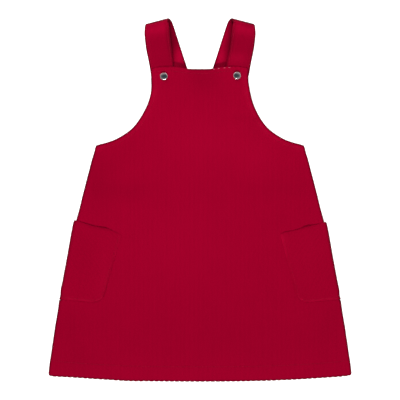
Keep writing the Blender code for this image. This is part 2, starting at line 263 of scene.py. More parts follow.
class PanelOutline:
    """Sides, bottom and top edges of a panel of the frame, in mm."""

    def __init__(self, name):
        lines = node_lines(name)
        points = np.concatenate(lines)
        self.half_hem = points[:, 0].max()
        at_corner = np.abs(points[:, 0]) > self.half_hem - SAME_ROW
        self.bottom_y = points[at_corner][:, 1].min()
        top_y = points[np.argmax(np.abs(points[:, 0]) + points[:, 1])][1]
        rows = []
        for y in np.unique(np.round(points[:, 1], 1)):
            if not self.bottom_y - SAME_ROW < y < top_y + SAME_ROW:
                continue
            at_row = points[np.abs(points[:, 1] - y) < 1.2 * SAME_ROW][:, 0]
            across = crossings(lines, 1, y)[:, 0]
            if len(across) == 0 or np.ptp(across) - np.ptp(at_row) < 2 * SAME_ROW:
                rows.append((y, np.ptp(at_row) / 2, (at_row.max() + at_row.min()) / 2))
        apart = [True] + [above[0] - below[0] > ROWS_APART for below, above in zip(rows, rows[1:])]
        self.rows = np.array(rows)[apart]
        self.top_y, self.half_top, self.top_lay = self.rows[-1]
        step = self.half_hem / OUTLINE_COLUMNS
        self.xs = np.arange(-self.half_hem, self.half_hem + 0.01, step)
        columns = [crossings(lines, 0, x * JUST_INSIDE)[:, 1] for x in self.xs]
        self.hem = np.array([column.min() for column in columns])
        self.top = np.array([column.max() for column in columns])

    def half(self, y):
        """Half the panel's width at a height: side seam below the underarm, armhole above."""
        y = np.asarray(y, float)
        below = self.rows[self.rows[:, 0] <= UNDERARM_Y + 2 * SAME_ROW]
        above = self.rows[self.rows[:, 0] >= UNDERARM_Y - 2 * SAME_ROW]
        seam = curve_through(below[:, 0], below[:, 1], y)
        armhole = curve_through(above[:, 0], above[:, 1], y)
        return np.where(y <= UNDERARM_Y, seam, armhole)

    def lay(self, y):
        """How far the panel's middle lies to the right at a height."""
        return np.interp(y, self.rows[:, 0], self.rows[:, 2])

    def hem_y(self, x):
        return np.interp(x, self.xs, self.hem)

    def neck_y(self, x):
        return np.interp(x, self.xs, self.top)


front_outline = PanelOutline("front_panel")
back_outline = PanelOutline("back_panel")
print("front rows", len(front_outline.rows), "hem corner", front_outline.half_hem,
      front_outline.bottom_y, "bib corner", front_outline.half_top, front_outline.top_y)

# %% [markdown]
# ## Read how high the cloth lies
# The frame's panels are made of flat facets, a centimetre or so wide. Rays dropped on a fine
# raster read their height, and a blur a few millimetres wide melts the facets into soft cloth.

# %% Read how high the cloth lies
RASTER = 2.0
MELT = 4.5                # width of the blur
MELT_CELLS = 6            # its reach, in cells of the raster
SNAP_HOLE = 3.0           # no ray is dropped this near the middle of a snap's hole
RAY_START = 0.05          # in metres, above or below all the cloth


class HeightMap:
    """Height of one side of a frame node over a raster, blurred."""

    def __init__(self, name, from_above, holes=()):
        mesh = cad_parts[name].data
        tree = BVHTree.FromPolygons([vertex.co[:] for vertex in mesh.vertices],
                                    [polygon.vertices[:] for polygon in mesh.polygons])
        low, high = (np.array(corner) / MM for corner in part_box(name))
        self.x = np.arange(low[0], high[0] + RASTER, RASTER)
        self.y = np.arange(low[1], high[1] + RASTER, RASTER)
        way = 1.0 if from_above else -1.0
        heights = np.full((len(self.y), len(self.x)), np.nan)
        for j, y in enumerate(self.y):
            for i, x in enumerate(self.x):
                if any(math.hypot(x - hole_x, y - hole_y) < SNAP_HOLE for hole_x, hole_y in holes):
                    continue
                start = Vector((x * MM, y * MM, way * RAY_START))
                hit = tree.ray_cast(start, Vector((0.0, 0.0, -way)))
                if hit[0] is not None:
                    heights[j, i] = hit[0].z / MM
        self.z = self.soften(self.fill(heights))

    def fill(self, heights):
        """Gaps in a row are bridged, and a row off the cloth takes the nearest row on it."""
        for row in heights:
            known = ~np.isnan(row)
            if known.any():
                row[:] = np.interp(self.x, self.x[known], row[known])
        known = np.flatnonzero(~np.isnan(heights[:, 0]))
        take = np.interp(np.arange(len(self.y)), known, known)
        return heights[np.round(take).astype(int)]

    def soften(self, heights):
        spread = np.arange(-MELT_CELLS, MELT_CELLS + 1) * RASTER
        kernel = np.exp(-0.5 * (spread / MELT) ** 2)
        kernel /= kernel.sum()
        soft = np.pad(heights, MELT_CELLS, mode="edge")
        for axis in (0, 1):
            soft = np.apply_along_axis(np.convolve, axis, soft, kernel, "valid")
        return soft

    def __call__(self, x, y):
        i = np.clip((x - self.x[0]) / RASTER, 0, len(self.x) - 1.001)
        j = np.clip((y - self.y[0]) / RASTER, 0, len(self.y) - 1.001)
        i0, j0 = i.astype(int), j.astype(int)
        u, v = i - i0, j - j0
        return mix(mix(self.z[j0, i0], self.z[j0, i0 + 1], u),
                   mix(self.z[j0 + 1, i0], self.z[j0 + 1, i0 + 1], u), v)


def middle_of(name):
    low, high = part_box(name)
    return (low.x + high.x) / 2 / MM, (low.y + high.y) / 2 / MM


SNAPS = {side_name: middle_of("snap_cap_" + side_name) for side_name in ("left", "right")}
front_top = HeightMap("front_panel", True, SNAPS.values())
back_under = HeightMap("back_panel", False)
print("snaps at", SNAPS, "front from", front_top.z.min(), "to", front_top.z.max(), "mm")

# %% [markdown]
# ## Creases and dents in the front
# A pressed dress still isn't flat. The table below holds the soft troughs and ridges, each an
# oval with its place, half length, half width, turn and depth in mm. A trough has a negative
# depth. They are uneven on purpose.

# %% Creases and dents in the front
CREASES = (
    # x, y, half length, half width, turn in degrees, depth
    (4.0, 160.0, 24.0, 26.0, 0.0, -1.5),
    (49.0, 103.0, 9.0, 4.5, 6.0, -0.7),
    (-104.0, 30.0, 44.0, 15.0, 2.0, -1.1),
    (98.0, 28.0, 42.0, 15.0, -3.0, -1.0),
    (-92.0, 76.0, 32.0, 17.0, 28.0, -0.9),
    (66.0, 52.0, 22.0, 20.0, -30.0, 0.6),
    (22.0, 84.0, 22.0, 34.0, 10.0, 0.5),
    (-72.0, 52.0, 20.0, 12.0, 12.0, 0.35),
    (-48.0, 4.0, 34.0, 30.0, 0.0, 0.5),
    (-50.0, -62.0, 30.0, 34.0, 0.0, -0.4),
    (62.0, -70.0, 28.0, 30.0, 15.0, -0.35),
    (0.0, -186.0, 240.0, 42.0, 0.0, 1.9),
    (-150.0, -168.0, 22.0, 30.0, 10.0, 0.9),
    (-78.0, -178.0, 20.0, 18.0, -20.0, -0.5),
    (92.0, -172.0, 24.0, 16.0, 24.0, -0.5),
    (146.0, -150.0, 18.0, 22.0, -12.0, 0.5),
)


def soft_forms(forms, x, y):
    """The sum of soft ovals at some places."""
    total = np.zeros_like(x)
    for centre_x, centre_y, length, width, turn, size in forms:
        angle = math.radians(turn)
        along = (x - centre_x) * math.cos(angle) + (y - centre_y) * math.sin(angle)
        aside = (y - centre_y) * math.cos(angle) - (x - centre_x) * math.sin(angle)
        total += size * bell(along, 0.0, length) * bell(aside, 0.0, width)
    return total


print(len(CREASES), "creases and dents")

# %% [markdown]
# This table is painted light and shade: soft patches that make the front lighter or darker in places,
# such as a lighter chest, a darker lower skirt and shade lines along the bib's edge, though the cloth
# is the same. It is a table of ovals too, whose last column is a tone: above 0 is darker.

# %% Painted light and shade on the front
PANEL_PAINTED_SHADING = (
    # x, y, half length, half width, turn in degrees, tone
    (6.0, 148.0, 20.0, 17.0, 0.0, 0.13),
    (0.0, 140.0, 52.0, 30.0, 0.0, 0.07),
    (-44.0, 159.6, 14.0, 1.5, 0.0, 0.22),
    (46.0, 159.6, 14.0, 1.6, 0.0, -0.12),
    (60.0, 148.0, 12.0, 12.0, 0.0, 0.05),
    (-58.0, 126.0, 10.0, 20.0, 0.0, -0.05),
    (49.0, 99.0, 11.0, 4.5, 6.0, 0.10),
    (10.0, 70.0, 58.0, 36.0, 0.0, -0.12),
    (74.0, 54.0, 20.0, 24.0, 0.0, -0.10),
    (-126.0, 38.0, 30.0, 28.0, 20.0, 0.11),
    (-100.0, 12.0, 42.0, 13.0, 0.0, 0.07),
    (128.0, 22.0, 26.0, 22.0, -20.0, 0.06),
    (88.0, 14.0, 34.0, 9.0, 0.0, 0.05),
    (-24.0, -50.0, 62.0, 46.0, 0.0, -0.09),
    (-124.0, 6.0, 18.0, 36.0, 0.0, 0.08),
    (0.0, -166.0, 320.0, 40.0, 0.0, 0.04),
    (10.0, -206.0, 190.0, 18.0, 0.0, -0.05),
    (-152.0, -196.0, 30.0, 20.0, 0.0, 0.07),
    (-58.5, 151.0, 4.5, 10.0, 0.0, 0.28),
    (62.5, 145.0, 4.0, 10.0, 0.0, 0.14),
    (-86.0, 68.0, 24.0, 26.0, 0.0, 0.07),
    (-76.0, 8.0, 26.0, 12.0, 0.0, 0.05),
    (-110.0, -92.0, 24.0, 1.9, 75.0, -0.22),
    (-158.0, -148.0, 24.0, 32.0, 10.0, 0.10),
    (158.0, -142.0, 20.0, 26.0, -10.0, 0.07),
)
# These patches are painted light and shade.
print(len(PANEL_PAINTED_SHADING), "brushed patches")

# %% [markdown]
# ## Rows and columns of a panel
# A row of a panel's grid runs from side to side, and rows are closer together where the form is
# fine: at the hem, round the armholes, at the neckline and beside rows of stitches.

# %% Rows of a panel
HEM_STITCH, ARM_STITCH, NECK_STITCH = 18.0, 5.6, 5.4   # from the edge to its row of stitches
BELOW_POCKET_Y = -119.6   # here the pockets stop holding the sides in
BESIDE_HEM_STITCH = np.array([-2.0, -1.2, -0.6, 0.0, 0.6, 1.2, 2.0, 3.0])
BESIDE_NECK_STITCH = np.array([-1.2, -0.6, 0.0, 0.6, 1.2, 2.0, 3.2])
BESIDE_SPRING = np.array([-4.2, -2.4, -1.2, 0.0, 1.2, 2.4])


def panel_rows(outline, shows):
    """Heights of the rows at the panel's side; only the front, which shows, has a neckline."""
    hem, top = outline.bottom_y, outline.top_y
    hem_stitch = hem + HEM_STITCH
    runs = [np.arange(start, end, step) for start, end, step in (
        (hem + 5.5, hem_stitch - 2.0, 2.2),
        (hem_stitch + 6.0, 58.0, 4.4),
        (60.0, UNDERARM_Y, 1.6),
        (UNDERARM_Y, 76.0, 0.6),
        (76.0, 92.0, 1.4),
        (92.0, top - 10.0, 3.2),
    )]
    runs += [hem + EDGE_STEPS, hem_stitch + BESIDE_HEM_STITCH, BELOW_POCKET_Y + BESIDE_SPRING,
             top - EDGE_STEPS]
    if shows:
        runs.append(top - NECK_STITCH - BESIDE_NECK_STITCH)
    return joined(*runs)


# %% [markdown]
# Columns share out the width of a row, and near its ends they keep real distances from the edge,
# so that the edge rounds evenly. The lowest rows then bend with the hem and take its nicks, and
# the highest bend with the neckline.

# %% Columns of a panel
STRAIGHT_FROM, STRAIGHT_TO = -100.0, 136.0   # rows between these heights are straight
STEEPEST = 0.28           # how far a slanting side may stretch the steps at its edge
NECK_INSIDE = 0.998       # keeps a row's ends within the neckline's columns
NICK_DEPTH = 0.75
NICK_REACH = 3.0


def panel_grid(outline, rows, half_columns):
    """Places of a panel's points: x and y arrays, row by row."""
    half = outline.half(rows)
    slope = np.gradient(half, rows)
    steepness = np.clip(1.0 / np.sqrt(1.0 + slope ** 2), STEEPEST, 1.0)
    shares = np.arange(half_columns) / half_columns
    x = np.zeros((len(rows), 2 * (half_columns + len(EDGE_STEPS)) - 1))
    for j in range(len(rows)):
        band = EDGE_STEPS / steepness[j]
        side = np.concatenate([shares * (half[j] - band[-1]), half[j] - band[::-1]])
        x[j] = np.concatenate([-side[:0:-1], side])
    y = np.repeat(rows[:, None], x.shape[1], axis=1)
    across = x / half[:, None]
    hem_share = np.clip((STRAIGHT_FROM - rows) / (STRAIGHT_FROM - outline.bottom_y), 0, 1)[:, None]
    top_share = np.clip((rows - STRAIGHT_TO) / (outline.top_y - STRAIGHT_TO), 0, 1)[:, None]
    y = y + hem_share * (outline.hem_y(across * outline.half_hem) - outline.bottom_y)
    x = x + outline.lay(rows)[:, None]
    neck_x = across * outline.half_top * NECK_INSIDE + outline.top_lay
    y = y + top_share * (outline.neck_y(neck_x) - outline.top_y)
    from_hem = (rows - outline.bottom_y)[:, None]
    y = y + NICK_DEPTH * nick(x) * np.clip(1.0 - from_hem / NICK_REACH, 0, 1)
    return x, y


# %% [markdown]
# ## Corners and sides
# Turned cloth is too thick for a sharp corner, so corners at hem and bib are round. A side
# springs out a little where a pocket stops holding it in and at the underarm, where the hems of
# armhole and side meet. And the hem droops here and there.

# %% Corners and sides
CORNER_ROUND = 4.0
SPRINGS = (
    # height, reach, how far out: under the pockets and at the underarm
    (BELOW_POCKET_Y, 1.9, 1.1),
    (64.5, 6.0, 0.7),
)
HEM_DROOP = (
    # x, y, half length, half width, turn in degrees, drop
    (-180.0, -212.0, 20.0, 16.0, 0.0, -1.2),
    (-84.0, -214.0, 20.0, 14.0, 0.0, -0.6),
    (0.0, -216.0, 60.0, 14.0, 0.0, -0.25),
    (174.0, -212.0, 24.0, 16.0, 0.0, -0.6),
)


def round_corners(x, y, outline):
    """Draws the square corners at hem and bib in to quarter circles."""
    middle = outline.lay(y[:, :1])
    sides = np.sign(x - middle)
    from_side = np.abs(x[:, -1:] - middle) - np.abs(x - middle)
    for from_end, way in ((y - y[:1], 1.0), (y[-1:] - y, -1.0)):
        a = np.clip(1.0 - from_side / CORNER_ROUND, 0.0, 1.0)
        b = np.clip(1.0 - from_end / CORNER_ROUND, 0.0, 1.0)
        x = x - sides * CORNER_ROUND * a * (1.0 - np.sqrt(1.0 - b * b / 2))
        y = y + way * CORNER_ROUND * b * (1.0 - np.sqrt(1.0 - a * a / 2))
    return x, y


def spring_out(x, y, outline):
    """Moves the sides out where nothing holds them in."""
    out = sum(far * bell(y, height, reach) for height, reach, far in SPRINGS)
    return x + np.sign(x) * out * smoothstep(np.abs(x) / outline.half(y), 0.9, 1.0)


# %% [markdown]
# ## Distances from the edges
# How cloth swells, thins and darkens depends on how far it is from an edge. So each point's
# distance from the hem, the top, the side seams and the armholes is found once, as the distance
# from the nearest of many points along that edge.

# %% Distances from the edges
HEM_BAND = 4.0            # this near the front's hem, distances follow its nicks


def distance_to(points, x, y):
    """How far each place is from the nearest of some points, all in mm."""
    tree = KDTree(len(points))
    for index, (point_x, point_y) in enumerate(points):
        tree.insert((point_x, point_y, 0.0), index)
    tree.balance()
    flat = [tree.find((a, b, 0.0))[2] for a, b in zip(x.reshape(-1), y.reshape(-1))]
    return np.array(flat).reshape(x.shape)


def panel_distances(outline, x, y):
    """From the hem, the side seams, the armholes and the top edge."""
    hem_x = np.arange(-outline.half_hem, outline.half_hem, 0.5)
    top_x = np.arange(-outline.half_top, outline.half_top, 0.4) + outline.top_lay
    seam_y = np.arange(outline.bottom_y, UNDERARM_Y, 0.5)
    arm_y = joined(np.arange(UNDERARM_Y, 84.0, 0.1), np.arange(84.0, outline.top_y, 0.4))
    seam_x, arm_x, arm_lay = outline.half(seam_y), outline.half(arm_y), outline.lay(arm_y)
    edges = {
        "hem": zip(hem_x, outline.hem_y(hem_x)),
        "top": zip(top_x, outline.neck_y(top_x)),
        "seam": list(zip(seam_x, seam_y)) + list(zip(-seam_x, seam_y)),
        "arm": list(zip(arm_lay + arm_x, arm_y)) + list(zip(arm_lay - arm_x, arm_y)),
    }
    return {name: distance_to(list(points), x, y) for name, points in edges.items()}


def spread_panel(outline, half_columns, shows):
    """A panel's rows, the places of its points, and how far they are from each edge and any."""
    rows = panel_rows(outline, shows)
    x, y = panel_grid(outline, rows, half_columns)
    away = panel_distances(outline, x, y)
    if shows:
        from_hem = np.maximum(rows - outline.bottom_y, 0.0)[:, None]
        away["hem"] = np.where(away["hem"] < HEM_BAND, from_hem, away["hem"])
    from_edge = nearest(*away.values())
    from_edge[[0, -1], :] = 0.0
    from_edge[:, [0, -1]] = 0.0
    x, y = round_corners(x, y, outline)
    x, y = spring_out(x, y, outline), y + soft_forms(HEM_DROOP, x, y)
    return rows, x, y, away, from_edge


def cut_area(outline, rows):
    """Area of the cut that shows, in square metres."""
    half = outline.half(rows)
    return float(np.sum(np.diff(rows) * (half[1:] + half[:-1]))) * MM * MM


# %% [markdown]
# ## Stitched edges
# A turned edge is two or three layers thick, so it swells beside its seam, and its thread pulls
# a groove into it. The pull is uneven, a little more at some stitches than at others.

# %% Stitched edges
EDGE_SWELL = 0.34
GROOVE_DEPTH, GROOVE_WIDTH = 0.42, 0.75
PULL_WAVES = (
    # share of the pull, length in mm, how far a seed shifts the wave
    (0.22, 2.9, 1.0),
    (0.16, 5.3, 2.1),
    (0.12, 11.7, 0.7),
)


def pucker(along, seed):
    """Uneven pull of a row of stitches, from a few waves that don't repeat together."""
    return 0.5 + sum(size * np.sin(along / length + shift * seed)
                     for size, length, shift in PULL_WAVES)


def stitched_edge(distance, stitch_at, along, seed):
    """Swell of a turned edge and the groove that its stitches pull."""
    swell = smoothstep(distance, 0.4, 1.6) * fade(distance, stitch_at - 1.0, stitch_at + 2.6)
    groove = bell(distance, stitch_at, GROOVE_WIDTH) * pucker(along, seed)
    return EDGE_SWELL * swell - GROOVE_DEPTH * groove


# %% [markdown]
# ## The front
# The front is one piece from bib to hem. Its outer side carries everything: the turned and stitched
# edges, the nicks, the creases, and a low ridge where the seam allowances lie inside the sides. Its
# armholes have a painted highlight along them, its folds are darkened partly with painted shade, and
# its neckline is pressed flat. Patches of painted light and shade lie over it all.

# %% Make the front
FRONT_HALF_COLUMNS = 116
TOP_PRESSED = 0.45        # share of the wall left at the bib's top edge
SEAM_RIDGE = 0.22
SEAM_ALLOWANCE = 6.0, 11.0   # the ridge fades between these distances from the seam
NICK_GROOVE = 0.30
ARM_PAINTED_LIGHT = 0.35         # painted highlight along a turned armhole
STRAP_AT_NECK = 13.0, 18.0   # between these places the straps come up from behind the bib


def front_relief(x, y, away):
    """How far the outer side stands out beyond a plain wall."""
    relief = stitched_edge(away["arm"], ARM_STITCH, x + y, 1.3)
    relief += stitched_edge(away["top"], NECK_STITCH, x, 2.2) * 0.8
    relief += stitched_edge(away["hem"], HEM_STITCH, x, 0.4) * 0.7
    relief += SEAM_RIDGE * fade(away["seam"], *SEAM_ALLOWANCE)
    return relief - NICK_GROOVE * nick(x) * fade(nearest(away["hem"], away["top"]), 0.5, 3.2)


# The front's tone: partly painted shade at its folds, a painted highlight along the armholes, and
# patches of painted light and shade.
def front_tone(x, y, away):
    top_dark = mix(FOLD_DARK_AT_NECK, FOLD_DARK_ON_CLOTH, smoothstep(np.abs(x), *STRAP_AT_NECK))
    tone = np.maximum(fold_tone(nearest(away["seam"], away["arm"], away["hem"])),
                      fold_tone(away["top"], top_dark))
    # A painted highlight along each armhole.
    tone -= ARM_PAINTED_LIGHT * pucker(x - y, 2.0) * bell(away["arm"], 4.6, 2.6)
    return tone + soft_forms(PANEL_PAINTED_SHADING, x, y)


rows, x, y, away, from_edge = spread_panel(front_outline, FRONT_HALF_COLUMNS, True)
share = nearest(roundness(from_edge), mix(TOP_PRESSED, 1.0, smoothstep(away["top"], 0.0, 4.0)))
under = front_top(x, y) - WALL + soft_forms(CREASES, x, y)
outer = under + (WALL + front_relief(x, y, away)) * share
middle = np.stack([x, y, (under + outer) / 2], axis=2)
dress_front = lay_cloth("dress_front", middle, WALL, (outer - under) / WALL, x, y,
                        front_tone(x, y, away))
front_area = cut_area(front_outline, rows)
print("the front's cut that shows covers", round(front_area, 4), "square metres")

# %% [markdown]
# ## The back
# The back is the same cut with a lower top edge, hidden behind the bib. It lies on the surface,
# so its outer side, the one below, stays flat, and only its edges turn up.

# %% Make the back
BACK_HALF_COLUMNS = 58
rows, x, y, away, from_edge = spread_panel(back_outline, BACK_HALF_COLUMNS, False)
share = roundness(from_edge)
upper = back_under(x, y) + WALL
lower = upper - WALL * share
middle = np.stack([x, y, (upper + lower) / 2], axis=2)
# The back's edges take a fold's dark, partly painted shade.
dress_back = lay_cloth("dress_back", middle, WALL, share, x, y, fold_tone(from_edge))
back_area = cut_area(back_outline, rows)
print("the back's cut covers", round(back_area, 4), "square metres")

# %% [markdown]
# ## Pockets
# Each pocket is a rectangle of cloth wrapped round the side seam, half on the front and half on
# the back, with one rounded corner on each half. It slants as the side seam does. Its opening
# is turned under and stands a little off the skirt, as a pocket does once a hand has been in
# it. The two mouths hang differently, so each has its own small table of waves.

# %% The pockets' sizes
Pocket = namedtuple("Pocket", "side fold_top_y inner_x inner_y mouth nap")
POCKETS = {
    "left": Pocket(
        side=-1, fold_top_y=-24.0, inner_x=94.2, inner_y=-41.6,
        # each wave: share of the way to the fold, width, rise in mm, how open as a share of GAPE
        mouth=((0.30, 0.19, 2.5, 0.0), (0.38, 0.12, 0.0, 0.45), (0.66, 0.33, 0.0, 0.4)),
        # painted light and shade: patches that make the pocket lighter or darker in places
        nap=((-136.0, -64.0, 26.0, 36.0, 0.0, 0.06), (-111.0, -100.0, 24.0, 10.0, 68.0, -0.12),
             (-117.0, -72.0, 12.0, 34.0, -8.0, -0.09))),
    "right": Pocket(
        side=1, fold_top_y=-26.0, inner_x=96.2, inner_y=-40.6,
        mouth=((0.13, 0.09, 0.9, 0.2), (0.40, 0.15, 0.0, 0.15), (0.59, 0.10, 1.1, 0.8),
               (0.80, 0.12, -0.2, 0.2)),
        nap=((99.5, -46.0, 12.0, 4.0, 85.0, -0.12), (124.0, -62.0, 30.0, 42.0, 0.0, -0.08))),
}
INNER_BOTTOM_X, INNER_BOTTOM_Y = 118.0, -123.0
FOLD_BOTTOM_Y = -118.6
POCKET_WIDTH = float(front_outline.half(FOLD_BOTTOM_Y)) - INNER_BOTTOM_X
POCKET_CORNER = 11.0
POCKET_STITCH = 2.2       # from the edge to its row of stitches
POCKET_FRONT_Z = 3 * LAYER + WALL / 2
POCKET_BACK_Z = WALL / 2
FOLD_RADIUS = (POCKET_FRONT_Z - POCKET_BACK_Z) / 2
PROUD_TOP, PROUD_BOTTOM, PROUD_CORNER = 2.9, 2.3, 0.6   # of the fold, beyond the side seam


def pocket_place(pocket, share, down):
    """Where the front half lies at a share of the way to the fold, and a share of the way down."""
    depth = pocket.inner_y - INNER_BOTTOM_Y
    from_edge = np.minimum(share * POCKET_WIDTH / POCKET_CORNER, 1.0)
    rounding = POCKET_CORNER / depth * (1.0 - np.sqrt(1.0 - (1.0 - from_edge) ** 2))
    row = down * (1.0 - rounding)
    inner_y = mix(pocket.inner_y, INNER_BOTTOM_Y, row)
    y = mix(inner_y, mix(pocket.fold_top_y, FOLD_BOTTOM_Y, row), share)
    proud = mix(PROUD_TOP, PROUD_BOTTOM, down) + PROUD_CORNER * smoothstep(down, 0.75, 0.9)
    fold_x = front_outline.half(y) + proud - FOLD_RADIUS - WALL / 2
    x = mix(mix(pocket.inner_x, INNER_BOTTOM_X, row), fold_x, share)
    rise = sum(height * bell(share, at, reach) for at, reach, height, _ in pocket.mouth)
    gape = sum(far * bell(share, at, reach) for at, reach, _, far in pocket.mouth)
    return x, y + rise * fade(down, 0.0, 0.2), fold_x, gape


print("a pocket is", round(POCKET_WIDTH, 1), "mm wide at its bottom")

# %% [markdown]
# A pocket's front half lies on the skirt, so it takes the skirt's height and creases, and is
# lifted to the fold near the side. Its sewn edges are pressed thin and hardly show. Its mouth is
# thicker where it stands open.

# %% The front half of a pocket
SEWN_GAP, POCKET_GAP = 0.05, 0.3   # between pocket and skirt, at the sewn edges and inside
GAPE = 0.7                # how far a mouth that is wide open stands off the skirt
GAPE_DEPTH = 0.4          # share of the way down where the skirt is met again
TO_FOLD = 0.78            # share of the way to the fold where the cloth starts to lift
SEAM_PRESSED = 4.0        # sewn edges are pressed thin this far in
MOUTH_PRESSED = 0.15, 0.45   # share of the wall left at the mouth, shut and open
MOUTH_HEM = 6.0
POCKET_FORMS = (
    # a ridge over the hidden side seam and a dent beside it, as in the table of creases
    (132.0, -84.0, 15.0, 26.0, 0.0, 0.30),
    (146.0, -60.0, 9.0, 22.0, 0.0, -0.28),
)


def pocket_front(pocket, x, y, share, down, from_top, from_seam, gape):
    """Underside and outer side of the front half, and the share of the wall at its edges."""
    skirt = front_top(pocket.side * x, y) + soft_forms(CREASES, pocket.side * x, y)
    under = skirt + mix(SEWN_GAP, POCKET_GAP, smoothstep(from_seam, 0.0, 6.0))
    under = under + GAPE * gape * fade(down, 0.0, GAPE_DEPTH)
    under = mix(under, POCKET_FRONT_Z - WALL / 2, smoothstep(share, TO_FOLD, 1.0))
    pressed = mix(THINNEST, 1.0, smoothstep(from_seam, -1.0, SEAM_PRESSED))
    mouth = mix(*MOUTH_PRESSED, np.clip(2.0 * gape, 0.0, 1.0))
    mouth = mix(mouth, 1.0, smoothstep(from_top, 0.0, MOUTH_HEM))
    wall_share = nearest(roundness(from_top), pressed, mouth)
    relief = stitched_edge(from_seam, POCKET_STITCH, x + y, 3.1) * 0.25
    relief += soft_forms(POCKET_FORMS, x, y)
    return under, under + (WALL + relief) * wall_share, wall_share


# %% [markdown]
# The grid of a pocket runs from its front inner edge, over the fold, to its back inner edge. The
# fold is half a round tube, and the back half is the front half's mirror image, flat on the
# table.

# %% Wrap a pocket round the side seam
FOLD_COLUMNS = 17
# painted shade in an open mouth, where the slit lies in shadow
MOUTH_PAINTED_SHADE = 0.5
SEAM_PAINTED_LIGHT = 0.42        # painted light along a pocket's sewn edge


def both_halves(front, fold, back=None):
    """One row of columns: the front half, the fold and the back half, seen from its inner edge."""
    back = front if back is None else back
    return np.concatenate([front, fold, back[:, ::-1]], axis=1)


def running_length(steps):
    """How far each column is from the first, from the steps between them."""
    return np.concatenate([np.zeros((len(steps), 1)), np.cumsum(steps, axis=1)], axis=1)


def make_pocket(name, pocket):
    depth = pocket.inner_y - INNER_BOTTOM_Y
    corner_arc = POCKET_CORNER / POCKET_WIDTH * (1.0 - np.cos(np.linspace(0.0, math.pi / 2, 13)))
    shares = joined(EDGE_STEPS / POCKET_WIDTH, corner_arc, np.linspace(corner_arc[-1], 1.0, 26))
    downs = joined(EDGE_STEPS / depth, np.linspace(0.06, 0.94, 34), 1.0 - EDGE_STEPS / depth)
    down, share = np.meshgrid(downs, shares, indexing="ij")
    x, y, fold_x, gape = pocket_place(pocket, share, down)
    from_inner = running_length(np.hypot(np.diff(x, axis=1), np.diff(y, axis=1)))
    from_top, from_bottom = down * depth, (1.0 - down) * depth
    from_seam = np.minimum(from_inner, from_bottom)
    under, outer, wall_share = pocket_front(pocket, x, y, share, down, from_top, from_seam, gape)

    turn = np.linspace(0.0, math.pi, FOLD_COLUMNS + 2)[1:-1] + np.zeros((len(downs), 1))
    fold = np.stack([fold_x[:, -1:] + FOLD_RADIUS * np.sin(turn), y[:, -1:] + 0.0 * turn,
                     POCKET_BACK_Z + FOLD_RADIUS * (1.0 + np.cos(turn))], axis=2)
    from_fold_end = np.minimum(from_top, from_bottom)[:, -1:] + 0.0 * turn
    front = np.stack([x, y, (under + outer) / 2], axis=2)
    back = np.stack([x, y, POCKET_BACK_Z + WALL / 2 * (1.0 - wall_share)], axis=2)
    places = both_halves(front, fold, back)
    places[:, :, 0] *= pocket.side
    wall = both_halves((outer - under) / WALL, roundness(from_fold_end), wall_share)

    # painted shade in the mouth where it stands open
    tone = fold_tone(from_top, MOUTH_PAINTED_SHADE) * gape
    # painted light along the sewn edges
    tone -= SEAM_PAINTED_LIGHT * pucker(x - y, 1.0) * bell(from_seam, 0.9, 1.4)
    # patches of painted light and shade
    tone += soft_forms(pocket.nap, pocket.side * x, y)
    # The crest of a pocket's fold takes a fold's dark, partly painted shade.
    from_crest = fold_x[:, -1:] + FOLD_RADIUS - np.abs(places[:, :, 0])
    tone = both_halves(tone, 0.0 * turn) + fold_tone(from_crest)
    across = running_length(np.linalg.norm(np.diff(places, axis=1), axis=2))
    along = -np.repeat(downs[:, None] * depth, places.shape[1], axis=1)
    way = -pocket.side     # rows are turned round on the right, so that its faces point outwards
    return lay_cloth(name, places[::way], WALL, wall[::way], across[::way], along[::way], tone[::way])


pockets = {side_name: make_pocket("pocket_cloth_" + side_name, pocket)
           for side_name, pocket in POCKETS.items()}

# %% [markdown]
# ## Straps
# A strap is a straight tube of cloth, pressed flat. It comes up from the back, folds over once
# at the shoulder, and goes down in front at another slant, because the fold line isn't square
# to it. So the strap is worked out as a flat band rolled round a thin cylinder that lies on the
# fold line. Its two long edges are folds, round and without a seam. Straps never lie alike, so
# what differs between the two is in one small record for each.

# %% The straps' sizes
STRAP_WIDTH = 32.0
STRAP_STITCH = 2.4        # from the edge to its row of stitches
BACK_LEAN = math.radians(17.8)
FRONT_LEAN = math.radians(7.4)
FOLD_SLOPE = (BACK_LEAN + FRONT_LEAN) / 2
LEAN_FROM_FOLD = BACK_LEAN - FOLD_SLOPE
BEND_RADIUS = 4.6
FOLD_ARC = math.pi * BEND_RADIUS
FOLD_REACH = BEND_RADIUS + STRAP_WALL / 2
FOLD_TOP_X, FOLD_TOP_Y = 51.0, 214.9
AXIS_X = FOLD_TOP_X - FOLD_REACH * math.sin(FOLD_SLOPE)
AXIS_Y = FOLD_TOP_Y - FOLD_REACH * math.cos(FOLD_SLOPE)
BACK_END_Y, FRONT_END_Y = 124.0, 128.0
STRAP_START = -(AXIS_Y - BACK_END_Y) / math.cos(FOLD_SLOPE)   # travel is 0 where the fold starts
STRAP_END = FOLD_ARC + (AXIS_Y - FRONT_END_Y) / math.cos(FOLD_SLOPE)
Strap = namedtuple("Strap", "side tuck_from rolled_under lift lift_at parted front_nap back_nap")
